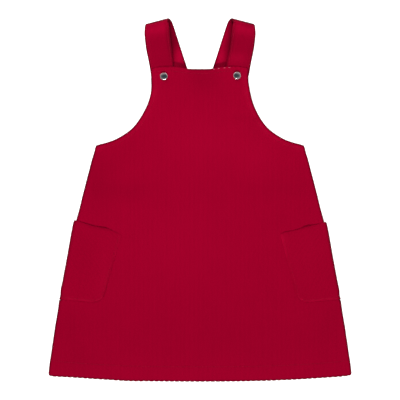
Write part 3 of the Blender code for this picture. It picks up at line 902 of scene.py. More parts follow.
STRAPS = {
    "left": Strap(
        side=-1, tuck_from=136.0, rolled_under=0.0, lift=1.1, lift_at=0.0,
        parted=(22.0, 170.0, 200.0),   # reach of the painted shadow on the back leg, grown between these two heights
        # the last two tables are painted light and shade on the front leg and on the back leg
        front_nap=((53.0, 214.0, 8.0, 3.0, -12.0, 0.15), (40.0, 205.0, 9.0, 8.0, 0.0, -0.12)),
        back_nap=((24.5, 172.5, 5.0, 10.0, 0.0, -0.45), (31.0, 161.5, 5.0, 6.0, 0.0, -0.5))),
    "right": Strap(
        side=1, tuck_from=142.0, rolled_under=0.12, lift=1.25, lift_at=0.2,
        parted=(9.5, 160.0, 190.0),
        front_nap=((60.0, 211.0, 9.0, 3.5, -12.0, 0.28), (46.0, 170.0, 12.0, 7.0, 0.0, -0.24),
                   (44.0, 206.0, 6.0, 7.0, 0.0, -0.12), (50.0, 186.0, 26.0, 30.0, 0.0, 0.04)),
        back_nap=((24.5, 172.5, 5.0, 10.0, 0.0, -0.45), (29.5, 196.0, 3.0, 14.0, -17.0, -0.3))),
}
print("a strap is", round(STRAP_END - STRAP_START, 1), "mm long")

# %% [markdown]
# The front leg looks narrower than the back leg: its edges curl, it tilts at the bib, and its
# end is rolled in behind the bib. The fold itself is pinched, a little more on its outer side.

# %% The width of a strap
FRONT_LEG_CURL = 0.95     # share of the width left in the front leg
FRONT_LEG_TILT = 0.885    # and at the bib
TILT_Y = 158.0, 188.0
END_TUCK, END_TUCK_LENGTH = 0.13, 18.0
ROLLED_Y = 162.0, 184.0   # between these heights the front leg's inner edge rolls under
FOLD_PINCH = 1.9
INNER_PINCH = 0.5         # share of the pinch that the inner side takes


def strap_half_width(strap, place_across, travel, middle_y):
    """Half the width along the fold line; place_across is -1 at the inner edge, 1 at the outer."""
    front = mix(FRONT_LEG_TILT, FRONT_LEG_CURL, smoothstep(middle_y, *TILT_Y))
    front = front - END_TUCK * fade(middle_y, strap.tuck_from, strap.tuck_from + END_TUCK_LENGTH)
    fold = mix(1.0, FRONT_LEG_CURL, np.clip(travel / FOLD_ARC, 0.0, 1.0))
    share = np.where(travel > FOLD_ARC, front, fold)
    rolled = smoothstep(travel, FOLD_ARC / 2, FOLD_ARC) * smoothstep(middle_y, *ROLLED_Y)
    share = share - np.where(place_across < 0.0, strap.rolled_under * rolled, 0.0)
    pinch = FOLD_PINCH * fade(np.abs(travel - FOLD_ARC / 2), 0.0, FOLD_ARC)
    pinch = np.where(place_across < 0.0, INNER_PINCH, 1.0) * pinch
    return (STRAP_WIDTH / 2 * share - pinch) / math.cos(LEAN_FROM_FOLD)


# %% [markdown]
# The back leg steps down from the back panel to the table. The front leg comes down from the
# fold to the bib, where the snap's lump lifts it again, and its long edges sag.

# %% The height of a strap
BACK_LEG_ON_PANEL = LAYER + STRAP_WALL / 2
BACK_LEG_ON_TABLE = STRAP_WALL / 2
STEP_DOWN_Y = 146.5, 160.0
FRONT_LEG_Z = 5.2
FRONT_FALL_Y = 158.0, 206.0
LIFT_WIDTH = 0.8          # as a share of half the strap
LIFT_RISE_Y, LIFT_FALL_Y = (152.0, 159.0), (162.0, 190.0)
SAG, SAG_WIDTH, SAG_Y = 1.6, 7.0, (158.0, 172.0)
SAG_FROM_FOLD = 10.0


def strap_height(strap, place_across, travel, y, half):
    """Height of the middle of the strap's wall."""
    back = mix(BACK_LEG_ON_PANEL, BACK_LEG_ON_TABLE, smoothstep(y, *STEP_DOWN_Y))
    angle = np.clip(travel, 0.0, FOLD_ARC) / BEND_RADIUS
    bend = BACK_LEG_ON_TABLE + BEND_RADIUS * (1.0 - np.cos(angle))
    front = mix(FRONT_LEG_Z, BACK_LEG_ON_TABLE + 2 * BEND_RADIUS, smoothstep(y, *FRONT_FALL_Y))
    lift = strap.lift * bell(place_across, strap.lift_at, LIFT_WIDTH)
    front = front + lift * smoothstep(y, *LIFT_RISE_Y) * fade(y, *LIFT_FALL_Y)
    sag = SAG * fade((1.0 - np.abs(place_across)) * half, 0.0, SAG_WIDTH)
    sag = sag * smoothstep(y, *SAG_Y) * smoothstep(travel, FOLD_ARC, FOLD_ARC + SAG_FROM_FOLD)
    return np.where(travel <= 0.0, back, np.where(travel <= FOLD_ARC, bend, front - sag))


# %% [markdown]
# Now the band can be rolled. Travel runs along the strap from its back end, over the fold to its
# front end. Past the fold it runs back down, so the same slant carries it outward.

# %% Roll the band round the fold
FOLD_SHIFT = 2.5          # the front leg leaves the fold this much further out
FOLD_SKEW, SKEW_REACH = 0.5, 12.0   # the fold's inner corner stands up, the outer one hangs down
FRONT_LEG_BOW = 0.7       # the front leg bows outward below the fold
BOW_Y, BOW_REACH = 190.0, 15.0


def strap_point(strap, place_across, travel):
    """Middle of the strap's wall, drawn on the right side, for arrays of places and travels."""
    angle = np.clip(travel, 0.0, FOLD_ARC) / BEND_RADIUS
    beyond = np.minimum(travel, 0.0) - np.maximum(travel - FOLD_ARC, 0.0)
    outward = BEND_RADIUS * np.sin(angle) + beyond
    middle_y = AXIS_Y + outward * math.cos(FOLD_SLOPE)
    half = strap_half_width(strap, place_across, travel, middle_y)
    shift = FOLD_SHIFT * (smoothstep(travel, 0.0, FOLD_ARC) - 0.5)
    bow = smoothstep(travel, FOLD_ARC, FOLD_ARC + 6.0) * bell(middle_y, BOW_Y, BOW_REACH)
    across = place_across * half + math.tan(LEAN_FROM_FOLD) * travel + (shift + FRONT_LEG_BOW * bow)
    x = AXIS_X + across * math.cos(FOLD_SLOPE) + outward * math.sin(FOLD_SLOPE)
    y = AXIS_Y - across * math.sin(FOLD_SLOPE) + outward * math.cos(FOLD_SLOPE)
    y = y - FOLD_SKEW * place_across * bell(travel, FOLD_ARC / 2, SKEW_REACH)
    return x, y, strap_height(strap, place_across, travel, y, half), half


# %% [markdown]
# A strap's tone is mostly painted shade and light. It comes from its long folds, whose dark is partly
# the parted pile and partly painted shade; painted shade where an edge bends down; a painted shadow
# on the back leg beside the front leg's edge; the crest of the fold, partly painted shade, with a
# painted highlight just past it; and patches of painted light and shade.

# %% The tone of a strap
SAG_PAINTED_SHADE = 0.42           # painted shade where an edge bends down
SAG_PAINTED_SHADE_REACH = 3.5, 7.0   # at the bib and higher up
SAG_PAINTED_SHADE_END_Y = 200.0, 211.0
UPPER_Y = 160.0, 190.0    # between these heights a strap goes from low to high
BESIDE_LEG_SHADOW = 0.1, 0.5    # painted shadow on the back leg beside the front leg, at the bib and higher up
BESIDE_LEG_SHADOW_AT_BIB = 4.0
# The crest's dark is partly the parted pile and partly painted shade, and the next value is a painted
# highlight just past the fold.
CREST_DARK = 1.0
FOLD_PAINTED_LIGHT = 0.3


def strap_tone(strap, place_across, travel, x, y, from_side):
    high = smoothstep(y, *UPPER_Y)
    # painted shade where the front leg's inner edge bends down
    bent_shade = SAG_PAINTED_SHADE * fade(from_side, 0.0, mix(*SAG_PAINTED_SHADE_REACH, high))
    bent_shade = bent_shade * (1.0 - 0.7 * smoothstep(y, *SAG_PAINTED_SHADE_END_Y))
    tone = np.where((travel > FOLD_ARC) & (place_across < 0.0), bent_shade, fold_tone(from_side))
    # the back leg gets a painted shadow beside the front leg's inner edge
    edge_x, edge_y, _, _ = strap_point(strap, np.full(80, -1.0),
                                       np.linspace(FOLD_ARC / 2, STRAP_END, 80))
    beside = distance_to(list(zip(edge_x, edge_y)), x, y)
    reach, low_y, high_y = strap.parted
    parted = mix(*BESIDE_LEG_SHADOW, high) * fade(beside, 0.0, mix(BESIDE_LEG_SHADOW_AT_BIB, reach,
                                                             smoothstep(y, low_y, high_y)))
    # the crest's dark, partly painted shade
    angle = np.clip(travel, 0.0, FOLD_ARC) / BEND_RADIUS
    crest = fold_tone(FOLD_REACH * (1.0 - np.sin(angle)), CREST_DARK)
    tone = np.maximum.reduce([tone, np.where(travel < FOLD_ARC / 2, parted, 0.0), crest])
    # a painted highlight on the front leg just past the fold
    tone -= FOLD_PAINTED_LIGHT * smoothstep(place_across, -1.2, -0.2) * bell(travel, FOLD_ARC + 4.0, 7.0)
    # and patches of painted light and shade
    return tone + np.where(travel > FOLD_ARC / 2, soft_forms(strap.front_nap, x, y),
                           soft_forms(strap.back_nap, x, y))


# %% [markdown]
# Both straps are drawn on the right side, and the left one is mirrored as it is laid, with its
# columns turned round so that its faces still point outwards.

# %% Make the straps
STRAP_EDGE_ROUND = 1.3


def make_strap(name, strap):
    travels = joined(STRAP_START + EDGE_STEPS, np.arange(STRAP_START + 6.0, -1.5, 2.0),
                     np.linspace(-1.5, FOLD_ARC + 1.5, 27),
                     np.arange(FOLD_ARC + 3.0, STRAP_END - 6.0, 2.0), STRAP_END - EDGE_STEPS)
    half = STRAP_WIDTH / 2
    one_side = np.concatenate([np.linspace(0.0, (half - 5.0) / half, 11),
                               1.0 - EDGE_STEPS[::-1] / half])
    travel, place_across = np.meshgrid(travels, np.concatenate([-one_side[:0:-1], one_side]),
                                       indexing="ij")
    x, y, z, half_here = strap_point(strap, place_across, travel)
    from_side = (1.0 - np.abs(place_across)) * half_here
    from_edge = nearest(from_side, travel - STRAP_START, STRAP_END - travel)
    swell = stitched_edge(from_side, STRAP_STITCH, travel, 5.0) * 0.25
    share = roundness(from_edge, STRAP_EDGE_ROUND)
    share = share + swell / STRAP_WALL * smoothstep(from_edge, 0.2, 1.5)
    tone = strap_tone(strap, place_across, travel, x, y, from_side)
    places = np.stack([strap.side * x, y, z], axis=2)
    way = strap.side
    return lay_cloth(name, places[:, ::way], STRAP_WALL, share[:, ::way],
                     (place_across * half)[:, ::way], travel, tone[:, ::way])


straps = {side_name: make_strap("strap_cloth_" + side_name, strap)
          for side_name, strap in STRAPS.items()}

# %% [markdown]
# ## Snaps
# A dress snap is a thin stamped cap, domed and rolled in at its rim, riveted through the cloth
# to a socket behind it. Socket, shank and cap are one half profile. Below the rim's widest place
# its edge is round, and above that it slants, between a round rim and a straight slope, up to
# the dome. That slant is what catches the light as a bright ring.

# %% The profile of a snap cap
CAP_RADIUS = 4.75
CAP_HEIGHT = 1.25
SHANK_RADIUS = 1.1
SOCKET_RADIUS, SOCKET_HEIGHT, SOCKET_BEVEL = 4.3, 1.4, 0.2
RECESS_RADIUS, RECESS_HEIGHT = 2.5, 1.0
RIM_WIDTH, RIM_RISE, RIM_UNDER = 0.8, 1.05, 0.15
RIM_SLANT = 1.5           # 1 would be a round rim and 2 a straight slope
DOME_EDGE = math.radians(18.0)   # slope of the dome where it meets the rim


def cap_profile(side_name):
    """From the recess under the socket, round the shank, to the top of the dome."""
    low, high = (corner.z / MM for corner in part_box("snap_cap_" + side_name))
    cap_z = high - CAP_HEIGHT
    recess_top, socket_top = low + RECESS_HEIGHT, low + SOCKET_HEIGHT
    socket = [(0.0, recess_top), (RECESS_RADIUS, recess_top), (RECESS_RADIUS, low),
              (SOCKET_RADIUS - SOCKET_BEVEL, low), (SOCKET_RADIUS, low + SOCKET_BEVEL),
              (SOCKET_RADIUS, socket_top - SOCKET_BEVEL), (SOCKET_RADIUS - SOCKET_BEVEL, socket_top),
              (SHANK_RADIUS, socket_top), (SHANK_RADIUS, cap_z)]
    under = [(CAP_RADIUS - RIM_WIDTH * (1.0 - math.cos(turn)),
              cap_z + RIM_UNDER * (1.0 + math.sin(turn)))
             for turn in np.linspace(-math.pi / 2, 0.0, 4)]
    slope = RIM_RISE / RIM_WIDTH / math.tan(DOME_EDGE)
    last = math.atan(slope ** (1.0 / (2.0 - RIM_SLANT)))   # here the rim slopes as the dome does
    rim = [(CAP_RADIUS - RIM_WIDTH * (1.0 - math.cos(turn) ** RIM_SLANT),
            cap_z + RIM_UNDER + RIM_RISE * math.sin(turn) ** RIM_SLANT)
           for turn in np.linspace(0.0, last, 10)[1:]]
    sphere = rim[-1][0] / math.sin(DOME_EDGE)
    dome = [(sphere * math.sin(a), rim[-1][1] + sphere * (math.cos(a) - math.cos(DOME_EDGE)))
            for a in np.linspace(DOME_EDGE, 0.0, 15)[1:]]
    return socket + under + rim + dome


print("a cap's profile has", len(cap_profile("left")), "points")

# %% [markdown]
# The profile is drawn as a chain of extruded points, and spin turns it round its axis, as a
# lathe would. The doubled points at the axis and along the spin's seam are merged, and only then
# are the normals recalculated. The cloth under a snap isn't level, so each cap leans a few
# degrees.

# %% Turn the snap caps
SPIN_STEPS = 64
MERGE_WITHIN = 0.000002   # in metres
CAP_LEAN = {"left": (7.0, -7.0), "right": (6.5, 10.0)}   # degrees, to the hem and to the right


def turn_profile(name, profile, centre_x, centre_y, lean):
    """Extrudes a chain of (radius, height) points, spins it, leans it, and puts it in place."""
    select_only()
    bpy.ops.mesh.primitive_plane_add(size=1.0)
    piece = bpy.context.object
    piece.name = name
    bpy.ops.object.mode_set(mode="EDIT")
    bpy.ops.mesh.merge(type="CENTER")
    first_radius, first_height = profile[0]
    bpy.ops.transform.translate(value=(first_radius * MM, 0.0, first_height * MM))
    for (radius, height), (next_radius, next_height) in zip(profile, profile[1:]):
        step = ((next_radius - radius) * MM, 0.0, (next_height - height) * MM)
        bpy.ops.mesh.extrude_region_move(TRANSFORM_OT_translate={"value": step})
    bpy.ops.mesh.select_all(action="SELECT")
    bpy.ops.mesh.spin(steps=SPIN_STEPS, angle=math.tau, center=(0, 0, 0), axis=(0, 0, 1))
    bpy.ops.mesh.select_all(action="SELECT")
    bpy.ops.mesh.remove_doubles(threshold=MERGE_WITHIN)
    bpy.ops.mesh.normals_make_consistent(inside=False)
    bpy.ops.mesh.select_all(action="SELECT")
    pivot = (0.0, 0.0, (profile[-1][1] - CAP_HEIGHT) * MM)
    for axis, angle in zip("XY", lean):
        bpy.ops.transform.rotate(value=math.radians(-angle), orient_axis=axis, center_override=pivot)
    bpy.ops.transform.translate(value=(centre_x * MM, centre_y * MM, 0.0))
    bpy.ops.object.mode_set(mode="OBJECT")
    piece.data.name = name
    bpy.ops.object.shade_smooth_by_angle(angle=math.radians(50))
    print(name, "has", len(piece.data.polygons), "faces")
    return piece


snap_caps = {side_name: turn_profile("snap_" + side_name, cap_profile(side_name), *centre,
                                     CAP_LEAN[side_name])
             for side_name, centre in SNAPS.items()}

# %% [markdown]
# ## Stitches
# Topstitching is rows of small thread loops, 2.7 mm long, sunk a little into the pile. One
# stitch is modelled once, as a ball with few faces, stretched along its row.

# %% Model one stitch
STITCH_LENGTH = 2.7
STITCH_GAP = 0.7
THREAD_RADIUS = 0.24
SINK = 0.06

select_only()
bpy.ops.mesh.primitive_uv_sphere_add(segments=8, ring_count=6, radius=THREAD_RADIUS)
one_stitch = bpy.context.object
stitch_points = np.array([vertex.co for vertex in one_stitch.data.vertices])[:, [2, 0, 1]]
stitch_faces = [tuple(face.vertices) for face in one_stitch.data.polygons]
bpy.data.objects.remove(one_stitch)
stretch = (STITCH_LENGTH - STITCH_GAP) / 2 - THREAD_RADIUS
stitch_points[:, 0] += np.sign(np.round(stitch_points[:, 0], 6)) * stretch
print("one stitch has", len(stitch_faces), "faces")

# %% [markdown]
# A row of stitches is copied along a path. Each copy lies on the cloth under it, found by a ray
# from above at both of its ends, and all the rows of a piece become one mesh.

# %% Sew along a path
def even_places(path, step):
    """Points at even steps along a path of (x, y) points."""
    lengths = np.concatenate([[0.0], np.cumsum(np.hypot(*np.diff(path, axis=0).T))])
    count = int(lengths[-1] / step)
    at = np.linspace(0.0, count * step, count + 1)
    return np.stack([np.interp(at, lengths, path[:, 0]), np.interp(at, lengths, path[:, 1])], axis=1)


def on_cloth(tree, x, y):
    """The place on the cloth under (x, y), or None beside it."""
    hit = tree.ray_cast(Vector((x * MM, y * MM, RAY_START)), Vector((0, 0, -1)))
    return None if hit[0] is None else np.array([x, y, hit[0].z / MM])


def sew(name, cloth, paths):
    """One mesh of all the stitches along some paths on a cloth piece."""
    tree = BVHTree.FromObject(cloth, bpy.context.evaluated_depsgraph_get())
    points, faces = [], []
    for path in paths:
        ends = [on_cloth(tree, *end) for end in even_places(np.asarray(path, float), STITCH_LENGTH)]
        for start, end in zip(ends, ends[1:]):
            if start is None or end is None:
                continue
            forward = (end - start) / np.linalg.norm(end - start)
            aside = np.cross([0.0, 0.0, 1.0], forward)
            aside /= np.linalg.norm(aside)
            turned = stitch_points @ np.stack([forward, aside, np.cross(forward, aside)])
            base = len(points) * len(stitch_points)
            points.append(turned + (start + end) / 2 + [0.0, 0.0, THREAD_RADIUS * 0.5 - SINK])
            faces += [tuple(base + corner for corner in face) for face in stitch_faces]
    mesh = bpy.data.meshes.new(name)
    mesh.from_pydata(np.concatenate(points) * MM, [], faces)
    mesh.shade_smooth()
    piece = bpy.data.objects.new(name, mesh)
    bpy.context.scene.collection.objects.link(piece)
    print(name, "has", len(points), "stitches")
    return piece


# %% [markdown]
# The front has four rows: hem, neckline and two armholes. An armhole's row keeps its distance
# square to the curve.

# %% Sew the front's edges
hem_x = np.arange(-front_outline.half_hem + 3.0, front_outline.half_hem - 3.0, 1.0)
hem_path = np.stack([hem_x, front_outline.hem_y(hem_x) + HEM_STITCH], axis=1)
neck_x = np.arange(-front_outline.half_top + ARM_STITCH, front_outline.half_top - ARM_STITCH, 1.0)
neck_x += front_outline.top_lay
neck_path = np.stack([neck_x, front_outline.neck_y(neck_x) - NECK_STITCH], axis=1)
edge_y = joined(np.arange(UNDERARM_Y, 84.0, 0.3), np.arange(84.0, front_outline.top_y, 1.5))
edge_points = np.stack([front_outline.half(edge_y), edge_y], axis=1)
tangent = np.gradient(edge_points, axis=0)
tangent /= np.linalg.norm(tangent, axis=1)[:, None]
inward = np.stack([-tangent[:, 1], tangent[:, 0]], axis=1)
arm_path = edge_points + inward * ARM_STITCH
arm_path = arm_path[(arm_path[:, 1] < front_outline.top_y - NECK_STITCH)
                    & (arm_path[:, 0] < front_outline.half(UNDERARM_Y) - 1.0)]
arm_lay = front_outline.lay(arm_path[:, 1])
arm_paths = [np.stack([arm_lay + side * arm_path[:, 0], arm_path[:, 1]], axis=1)
             for side in (-1, 1)]
front_stitches = sew("front_stitches", dress_front, [hem_path, neck_path] + arm_paths)

# %% [markdown]
# At the bib's top edge, in front of the right strap, four of the edge's own stitches are drawn pale:
# a painted glint, where the stitches catch the light on the edge. They are a piece of their own,
# because their thread has another colour.

# %% Sew the stitches with a painted glint
PAINTED_GLINT_AT = 15.4, 21.1, 28.0, 33.6
PAINTED_GLINT_INSET = 1.1
painted_glint_paths = []
for start_x in PAINTED_GLINT_AT:
    painted_glint_x = np.array([start_x, start_x + STITCH_LENGTH + 0.05])
    painted_glint_paths.append(np.stack([painted_glint_x, front_outline.neck_y(painted_glint_x) - PAINTED_GLINT_INSET], axis=1))
painted_glint_stitches = sew("painted_glint_stitches", dress_front, painted_glint_paths)

# %% [markdown]
# A pocket is sewn down its inner edge, round the corner and along its bottom.

# %% Sew the pockets
pocket_stitches = {}
for side_name, pocket in POCKETS.items():
    inset = POCKET_STITCH / POCKET_WIDTH
    lift = 1.0 - POCKET_STITCH / (pocket.inner_y - INNER_BOTTOM_Y)
    down_leg = [(inset, down) for down in np.linspace(0.02, lift, 40)]
    bottom_leg = [(share, lift) for share in np.linspace(inset, 0.985, 60)[1:]]
    shares, downs = np.array(down_leg + bottom_leg).T
    leg_x, leg_y, _, _ = pocket_place(pocket, shares, downs)
    path = np.stack([pocket.side * leg_x, leg_y], axis=1)
    pocket_stitches[side_name] = sew("pocket_stitches_" + side_name, pockets[side_name], [path])

# %% [markdown]
# A strap has a row along each long edge. The rows start at the fold, run 50 mm down the front
# leg, and end where the bib hides them. The strip of back leg that shows is left plain.

# %% Sew the straps
STITCHED_FRONT_LEG = 50.0
strap_stitches = {}
for side_name, strap in STRAPS.items():
    travel = np.linspace(FOLD_ARC * 0.55, FOLD_ARC + STITCHED_FRONT_LEG, 60)
    inset = STRAP_STITCH / (STRAP_WIDTH / 2 * FRONT_LEG_CURL)
    paths = []
    for edge in (-1.0, 1.0):
        leg_x, leg_y, _, _ = strap_point(strap, np.full_like(travel, edge * (1.0 - inset)), travel)
        paths.append(np.stack([strap.side * leg_x, leg_y], axis=1))
    strap_stitches[side_name] = sew("strap_stitches_" + side_name, straps[side_name], paths)

# %% [markdown]
# ## Colours and nodes
# Colours are written as sRGB hex values, as in a paint chart, and one function turns them
# linear, which is what shaders work in. One more small function adds a shader node: its kind,
# its settings, and what goes into it, which is a value, another node, or one of its sockets.

# %% Colours and nodes
def linear(hex_colour):
    """An sRGB hex colour as linear red, green, blue and alpha."""
    parts = [int(hex_colour[i:i + 2], 16) / 255 for i in (1, 3, 5)]
    return tuple(c / 12.92 if c <= 0.04045 else ((c + 0.055) / 1.055) ** 2.4 for c in parts) + (1.0,)


def add_node(owner, kind, inputs=None, **settings):
    """One node with its settings, fed by values, sockets or the first live output of nodes."""
    tree = owner.node_tree
    node = tree.nodes.new(kind)
    for name, value in settings.items():
        setattr(node, name, value)
    for name, value in (inputs or {}).items():
        if isinstance(value, bpy.types.Node):
            value = next(socket for socket in value.outputs if socket.enabled)
        if isinstance(value, bpy.types.NodeSocket):
            tree.links.new(value, node.inputs[name])
        else:
            node.inputs[name].default_value = value
    return node


def without_nodes(owner):
    """A new material or world, emptied."""
    owner.use_nodes = True
    owner.node_tree.nodes.clear()
    return owner


# %% [markdown]
# ## Needlecord
# Needlecord is cotton, piece-dyed, with a cut pile that stands in narrow ribs. What it gives the eye
# is a deep matt colour with almost no gloss, a slight glow where the pile is seen from the side, dark
# grooves between the ribs, partly painted shade, faint streaks up the cloth where ribs are brushed
# one way or the other, and a darker line on a fold, partly painted shade. Much of the rest of the
# cloth's tone is painted light and shade as well. The ribs are a folded sine wave, rounded by a
# power, and waver a little, as woven ones do.

# %% The ribs
WAVER = 0.6               # how far a wale wanders aside, in mm
WAVER_LENGTH = 12.5
RIB_ROUND = 0.6           # the power that rounds a rib
WALE_HEIGHT = 0.22
PILE_GRAIN = 0.35         # one tuft of pile


def rib_height(material, weave):
    """1 on the middle of a rib, 0 in a groove."""
    axes = add_node(material, "ShaderNodeSeparateXYZ", {"Vector": weave})
    waver = add_node(material, "ShaderNodeTexNoise", {
        "Vector": weave, "Scale": 1.0 / WAVER_LENGTH, "Detail": 1.0})
    across = add_node(material, "ShaderNodeMath", {0: waver, 1: WAVER, 2: axes.outputs["X"]},
                      operation="MULTIPLY_ADD")
    turn = add_node(material, "ShaderNodeMath", {0: across, 1: math.pi / WALE}, operation="MULTIPLY")
    wave = add_node(material, "ShaderNodeMath", {0: turn}, operation="SINE")
    ridge = add_node(material, "ShaderNodeMath", {0: wave}, operation="ABSOLUTE")
    return add_node(material, "ShaderNodeMath", {0: ridge, 1: RIB_ROUND}, operation="POWER")


# %% [markdown]
# The pile's colour lies between two close reds, chosen by streaks and brushed patches. Grooves and a
# tone above 0 mix it with a dark red, which is partly the ground's own dark and partly painted shade.
# A tone below 0 mixes it with a lighter red, which is painted light. One rib is about a pixel wide in
# a picture of the whole dress, so the streaks are a few ribs wide, which is as coarse as they need to
# be to show.

# %% The colour of the pile
PILE_LIGHT = "#970026"
PILE_DARK = "#940025"
# The lighter red below is painted light, and the darkest red is the ground's own dark and painted
# shade.
PILE_PAINTED_LIGHT = "#B80634"
GROUND_AND_SHADE_DARK = "#3A000C"
GROOVE_DARK = 0.55        # share of the dark in the bottom of a groove: partly the ground, partly painted shade
STREAK_WIDTH = 4.0
STREAK_LENGTH = 70.0
BRUSHED_PATCH = 26.0


def pile_colour(material, weave, rib, light, dark):
    stretched = add_node(material, "ShaderNodeMapping", {
        "Vector": weave, "Scale": (1.0 / STREAK_WIDTH, 1.0 / STREAK_LENGTH, 1.0)})
    streaks = add_node(material, "ShaderNodeTexNoise", {
        "Vector": stretched, "Scale": 1.0, "Detail": 3.0, "Roughness": 0.6})
    patches = add_node(material, "ShaderNodeTexNoise", {
        "Vector": weave, "Scale": 1.0 / BRUSHED_PATCH, "Detail": 3.0, "Roughness": 0.5})
    brushed = add_node(material, "ShaderNodeMath", {0: streaks, 1: patches}, operation="ADD")
    lightness = add_node(material, "ShaderNodeMapRange", {
        "Value": brushed, "From Min": 0.7, "From Max": 1.3})
    pile = add_node(material, "ShaderNodeMix", {0: lightness, 6: linear(dark), 7: linear(light)},
                    data_type="RGBA")
    # the tone is mostly painted light and shade
    tone = add_node(material, "ShaderNodeAttribute", attribute_name="shading_and_pile_tone").outputs["Fac"]
    # below 0 the tone mixes in a lighter red: painted light
    painted_lightness = add_node(material, "ShaderNodeMapRange", {
        "Value": tone, "From Min": 0.0, "From Max": -1.0})
    painted_lightness_pile = add_node(material, "ShaderNodeMix", {
        0: painted_lightness, 6: pile, 7: linear(PILE_PAINTED_LIGHT)}, data_type="RGBA")
    # grooves and a tone above 0 mix in a dark red: partly the ground, partly painted shade
    groove = add_node(material, "ShaderNodeMapRange", {
        "Value": rib, "From Min": 0.0, "From Max": 0.55, "To Min": GROOVE_DARK, "To Max": 0.0})
    deep = add_node(material, "ShaderNodeMath", {0: groove, 1: tone}, operation="MAXIMUM")
    return add_node(material, "ShaderNodeMix", {0: deep, 6: painted_lightness_pile, 7: linear(GROUND_AND_SHADE_DARK)},
                    data_type="RGBA")


# %% [markdown]
# Cut cotton pile scatters light, so it is rough, with a weak tinted highlight and a little sheen
# at grazing angles. Ribs and tufts together drive the bump.

# %% Needlecord
SHEEN_TINT = "#B0002C"
HIGHLIGHT_TINT = "#C00030"


def needlecord(name, light=PILE_LIGHT, dark=PILE_DARK):
    """Cotton needlecord, woven and piece-dyed: deep, matt, faintly ribbed."""
    material = without_nodes(bpy.data.materials.new(name))
    weave = add_node(material, "ShaderNodeUVMap", uv_map="wales_mm")
    rib = rib_height(material, weave)
    grain = add_node(material, "ShaderNodeTexNoise", {
        "Vector": weave, "Scale": 1.0 / PILE_GRAIN, "Detail": 2.0, "Roughness": 0.7})
    surface = add_node(material, "ShaderNodeMath", {0: grain, 1: 0.25, 2: rib},
                       operation="MULTIPLY_ADD")
    bump = add_node(material, "ShaderNodeBump", {
        "Height": surface, "Distance": WALE_HEIGHT * MM, "Strength": 0.8})
    shader = add_node(material, "ShaderNodeBsdfPrincipled", {
        "Base Color": pile_colour(material, weave, rib, light, dark),
        "Normal": bump,
        "Roughness": 0.92,
        "Specular IOR Level": 0.3,
        "Specular Tint": linear(HIGHLIGHT_TINT),
        "Sheen Weight": 0.12,
        "Sheen Roughness": 0.45,
        "Sheen Tint": linear(SHEEN_TINT),
    })
    add_node(material, "ShaderNodeOutputMaterial", {"Surface": shader})
    return material


# %% [markdown]
# ## Thread
# The thread is polyester, spun and dyed to match. It is a little smoother than the pile, so it
# gives the eye a faint broken line. Its twist is a fine noise in the bump.

# %% Thread
TWIST = 0.4               # mm, one turn of the yarn
TWIST_DEPTH = 0.05


def sewing_thread(name, colour):
    """Spun polyester: soft, with a faint line of light."""
    material = without_nodes(bpy.data.materials.new(name))
    place = add_node(material, "ShaderNodeTexCoord").outputs["Object"]
    twist = add_node(material, "ShaderNodeTexNoise", {"Vector": place, "Scale": 1.0 / (TWIST * MM)})
    bump = add_node(material, "ShaderNodeBump", {
        "Height": twist, "Distance": TWIST_DEPTH * MM, "Strength": 0.5})
    shader = add_node(material, "ShaderNodeBsdfPrincipled", {
        "Base Color": linear(colour), "Normal": bump, "Roughness": 0.6, "Specular IOR Level": 0.1})
    add_node(material, "ShaderNodeOutputMaterial", {"Surface": shader})
    return material


# %% [markdown]
# ## Nickel
# The snaps are stamped from brass sheet and plated with bright nickel. Its base colour is tinted
# pink, which is a painted reflection of the red cloth round the snaps. It gives the eye a clean small
# mirror, broken only by fine polishing marks, about a millimetre apart, which vary its roughness. The
# IOR stays at its default, as for any metal.

# %% Nickel
POLISH_MARKS = 900.0      # to a metre


def bright_nickel():
    """Bright nickel plate: a mirror with the faintest haze."""
    material = without_nodes(bpy.data.materials.new("bright nickel plate on stamped brass"))
    place = add_node(material, "ShaderNodeTexCoord").outputs["Object"]
    marks = add_node(material, "ShaderNodeTexNoise", {
        "Vector": place, "Scale": POLISH_MARKS, "Detail": 4.0})
    roughness = add_node(material, "ShaderNodeMapRange", {
        "Value": marks, "From Min": 0.3, "From Max": 0.7, "To Min": 0.1, "To Max": 0.18})
    # The pink tint in the base colour is a painted reflection of the red cloth.
    shader = add_node(material, "ShaderNodeBsdfPrincipled", {
        "Base Color": linear("#D0BEC2"), "Metallic": 1.0, "Roughness": roughness})
    add_node(material, "ShaderNodeOutputMaterial", {"Surface": shader})
    return material


# %% [markdown]
# ## Dress the pieces
# Each piece gets its material and rides on the frame's one body. Pieces of cloth and snap caps also
# stand for their plain solids. The two studs are the frame's own and only get the nickel. Pockets and
# straps are cut from the same cloth, with their ribs up the garment too, but look a touch darker than
# the panels, so their reds are deeper.

# %% Dress the pieces
cord_panels = needlecord("cotton needlecord, piece-dyed red, panels")
# The pockets' and straps' deeper reds are painted shade: darker copies of the panels' cloth.
cord_pockets = needlecord("cotton needlecord, piece-dyed red, pockets", "#950025", "#920024")
cord_straps = needlecord("cotton needlecord, piece-dyed red, straps", "#8B0023", "#880022")
thread = sewing_thread("spun polyester thread, dyed red", "#9C0229")
# a pale thread that is a painted glint of light, not a thread's own colour
painted_glint_thread = sewing_thread("spun polyester thread, painted_glint pale", "#D86C88")
nickel = bright_nickel()
for material in (cord_panels, cord_pockets, cord_straps, thread, painted_glint_thread, nickel):
    print(material.name, "has", len(material.node_tree.nodes), "nodes")


def give_material(piece, material):
    piece.data.materials.clear()
    piece.data.materials.append(material)


def dress(piece, material, slot, *nodes):
    give_material(piece, material)
    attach(piece, "root")
    if nodes:
        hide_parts(*nodes)
    print(piece.name, "wears", material.name)


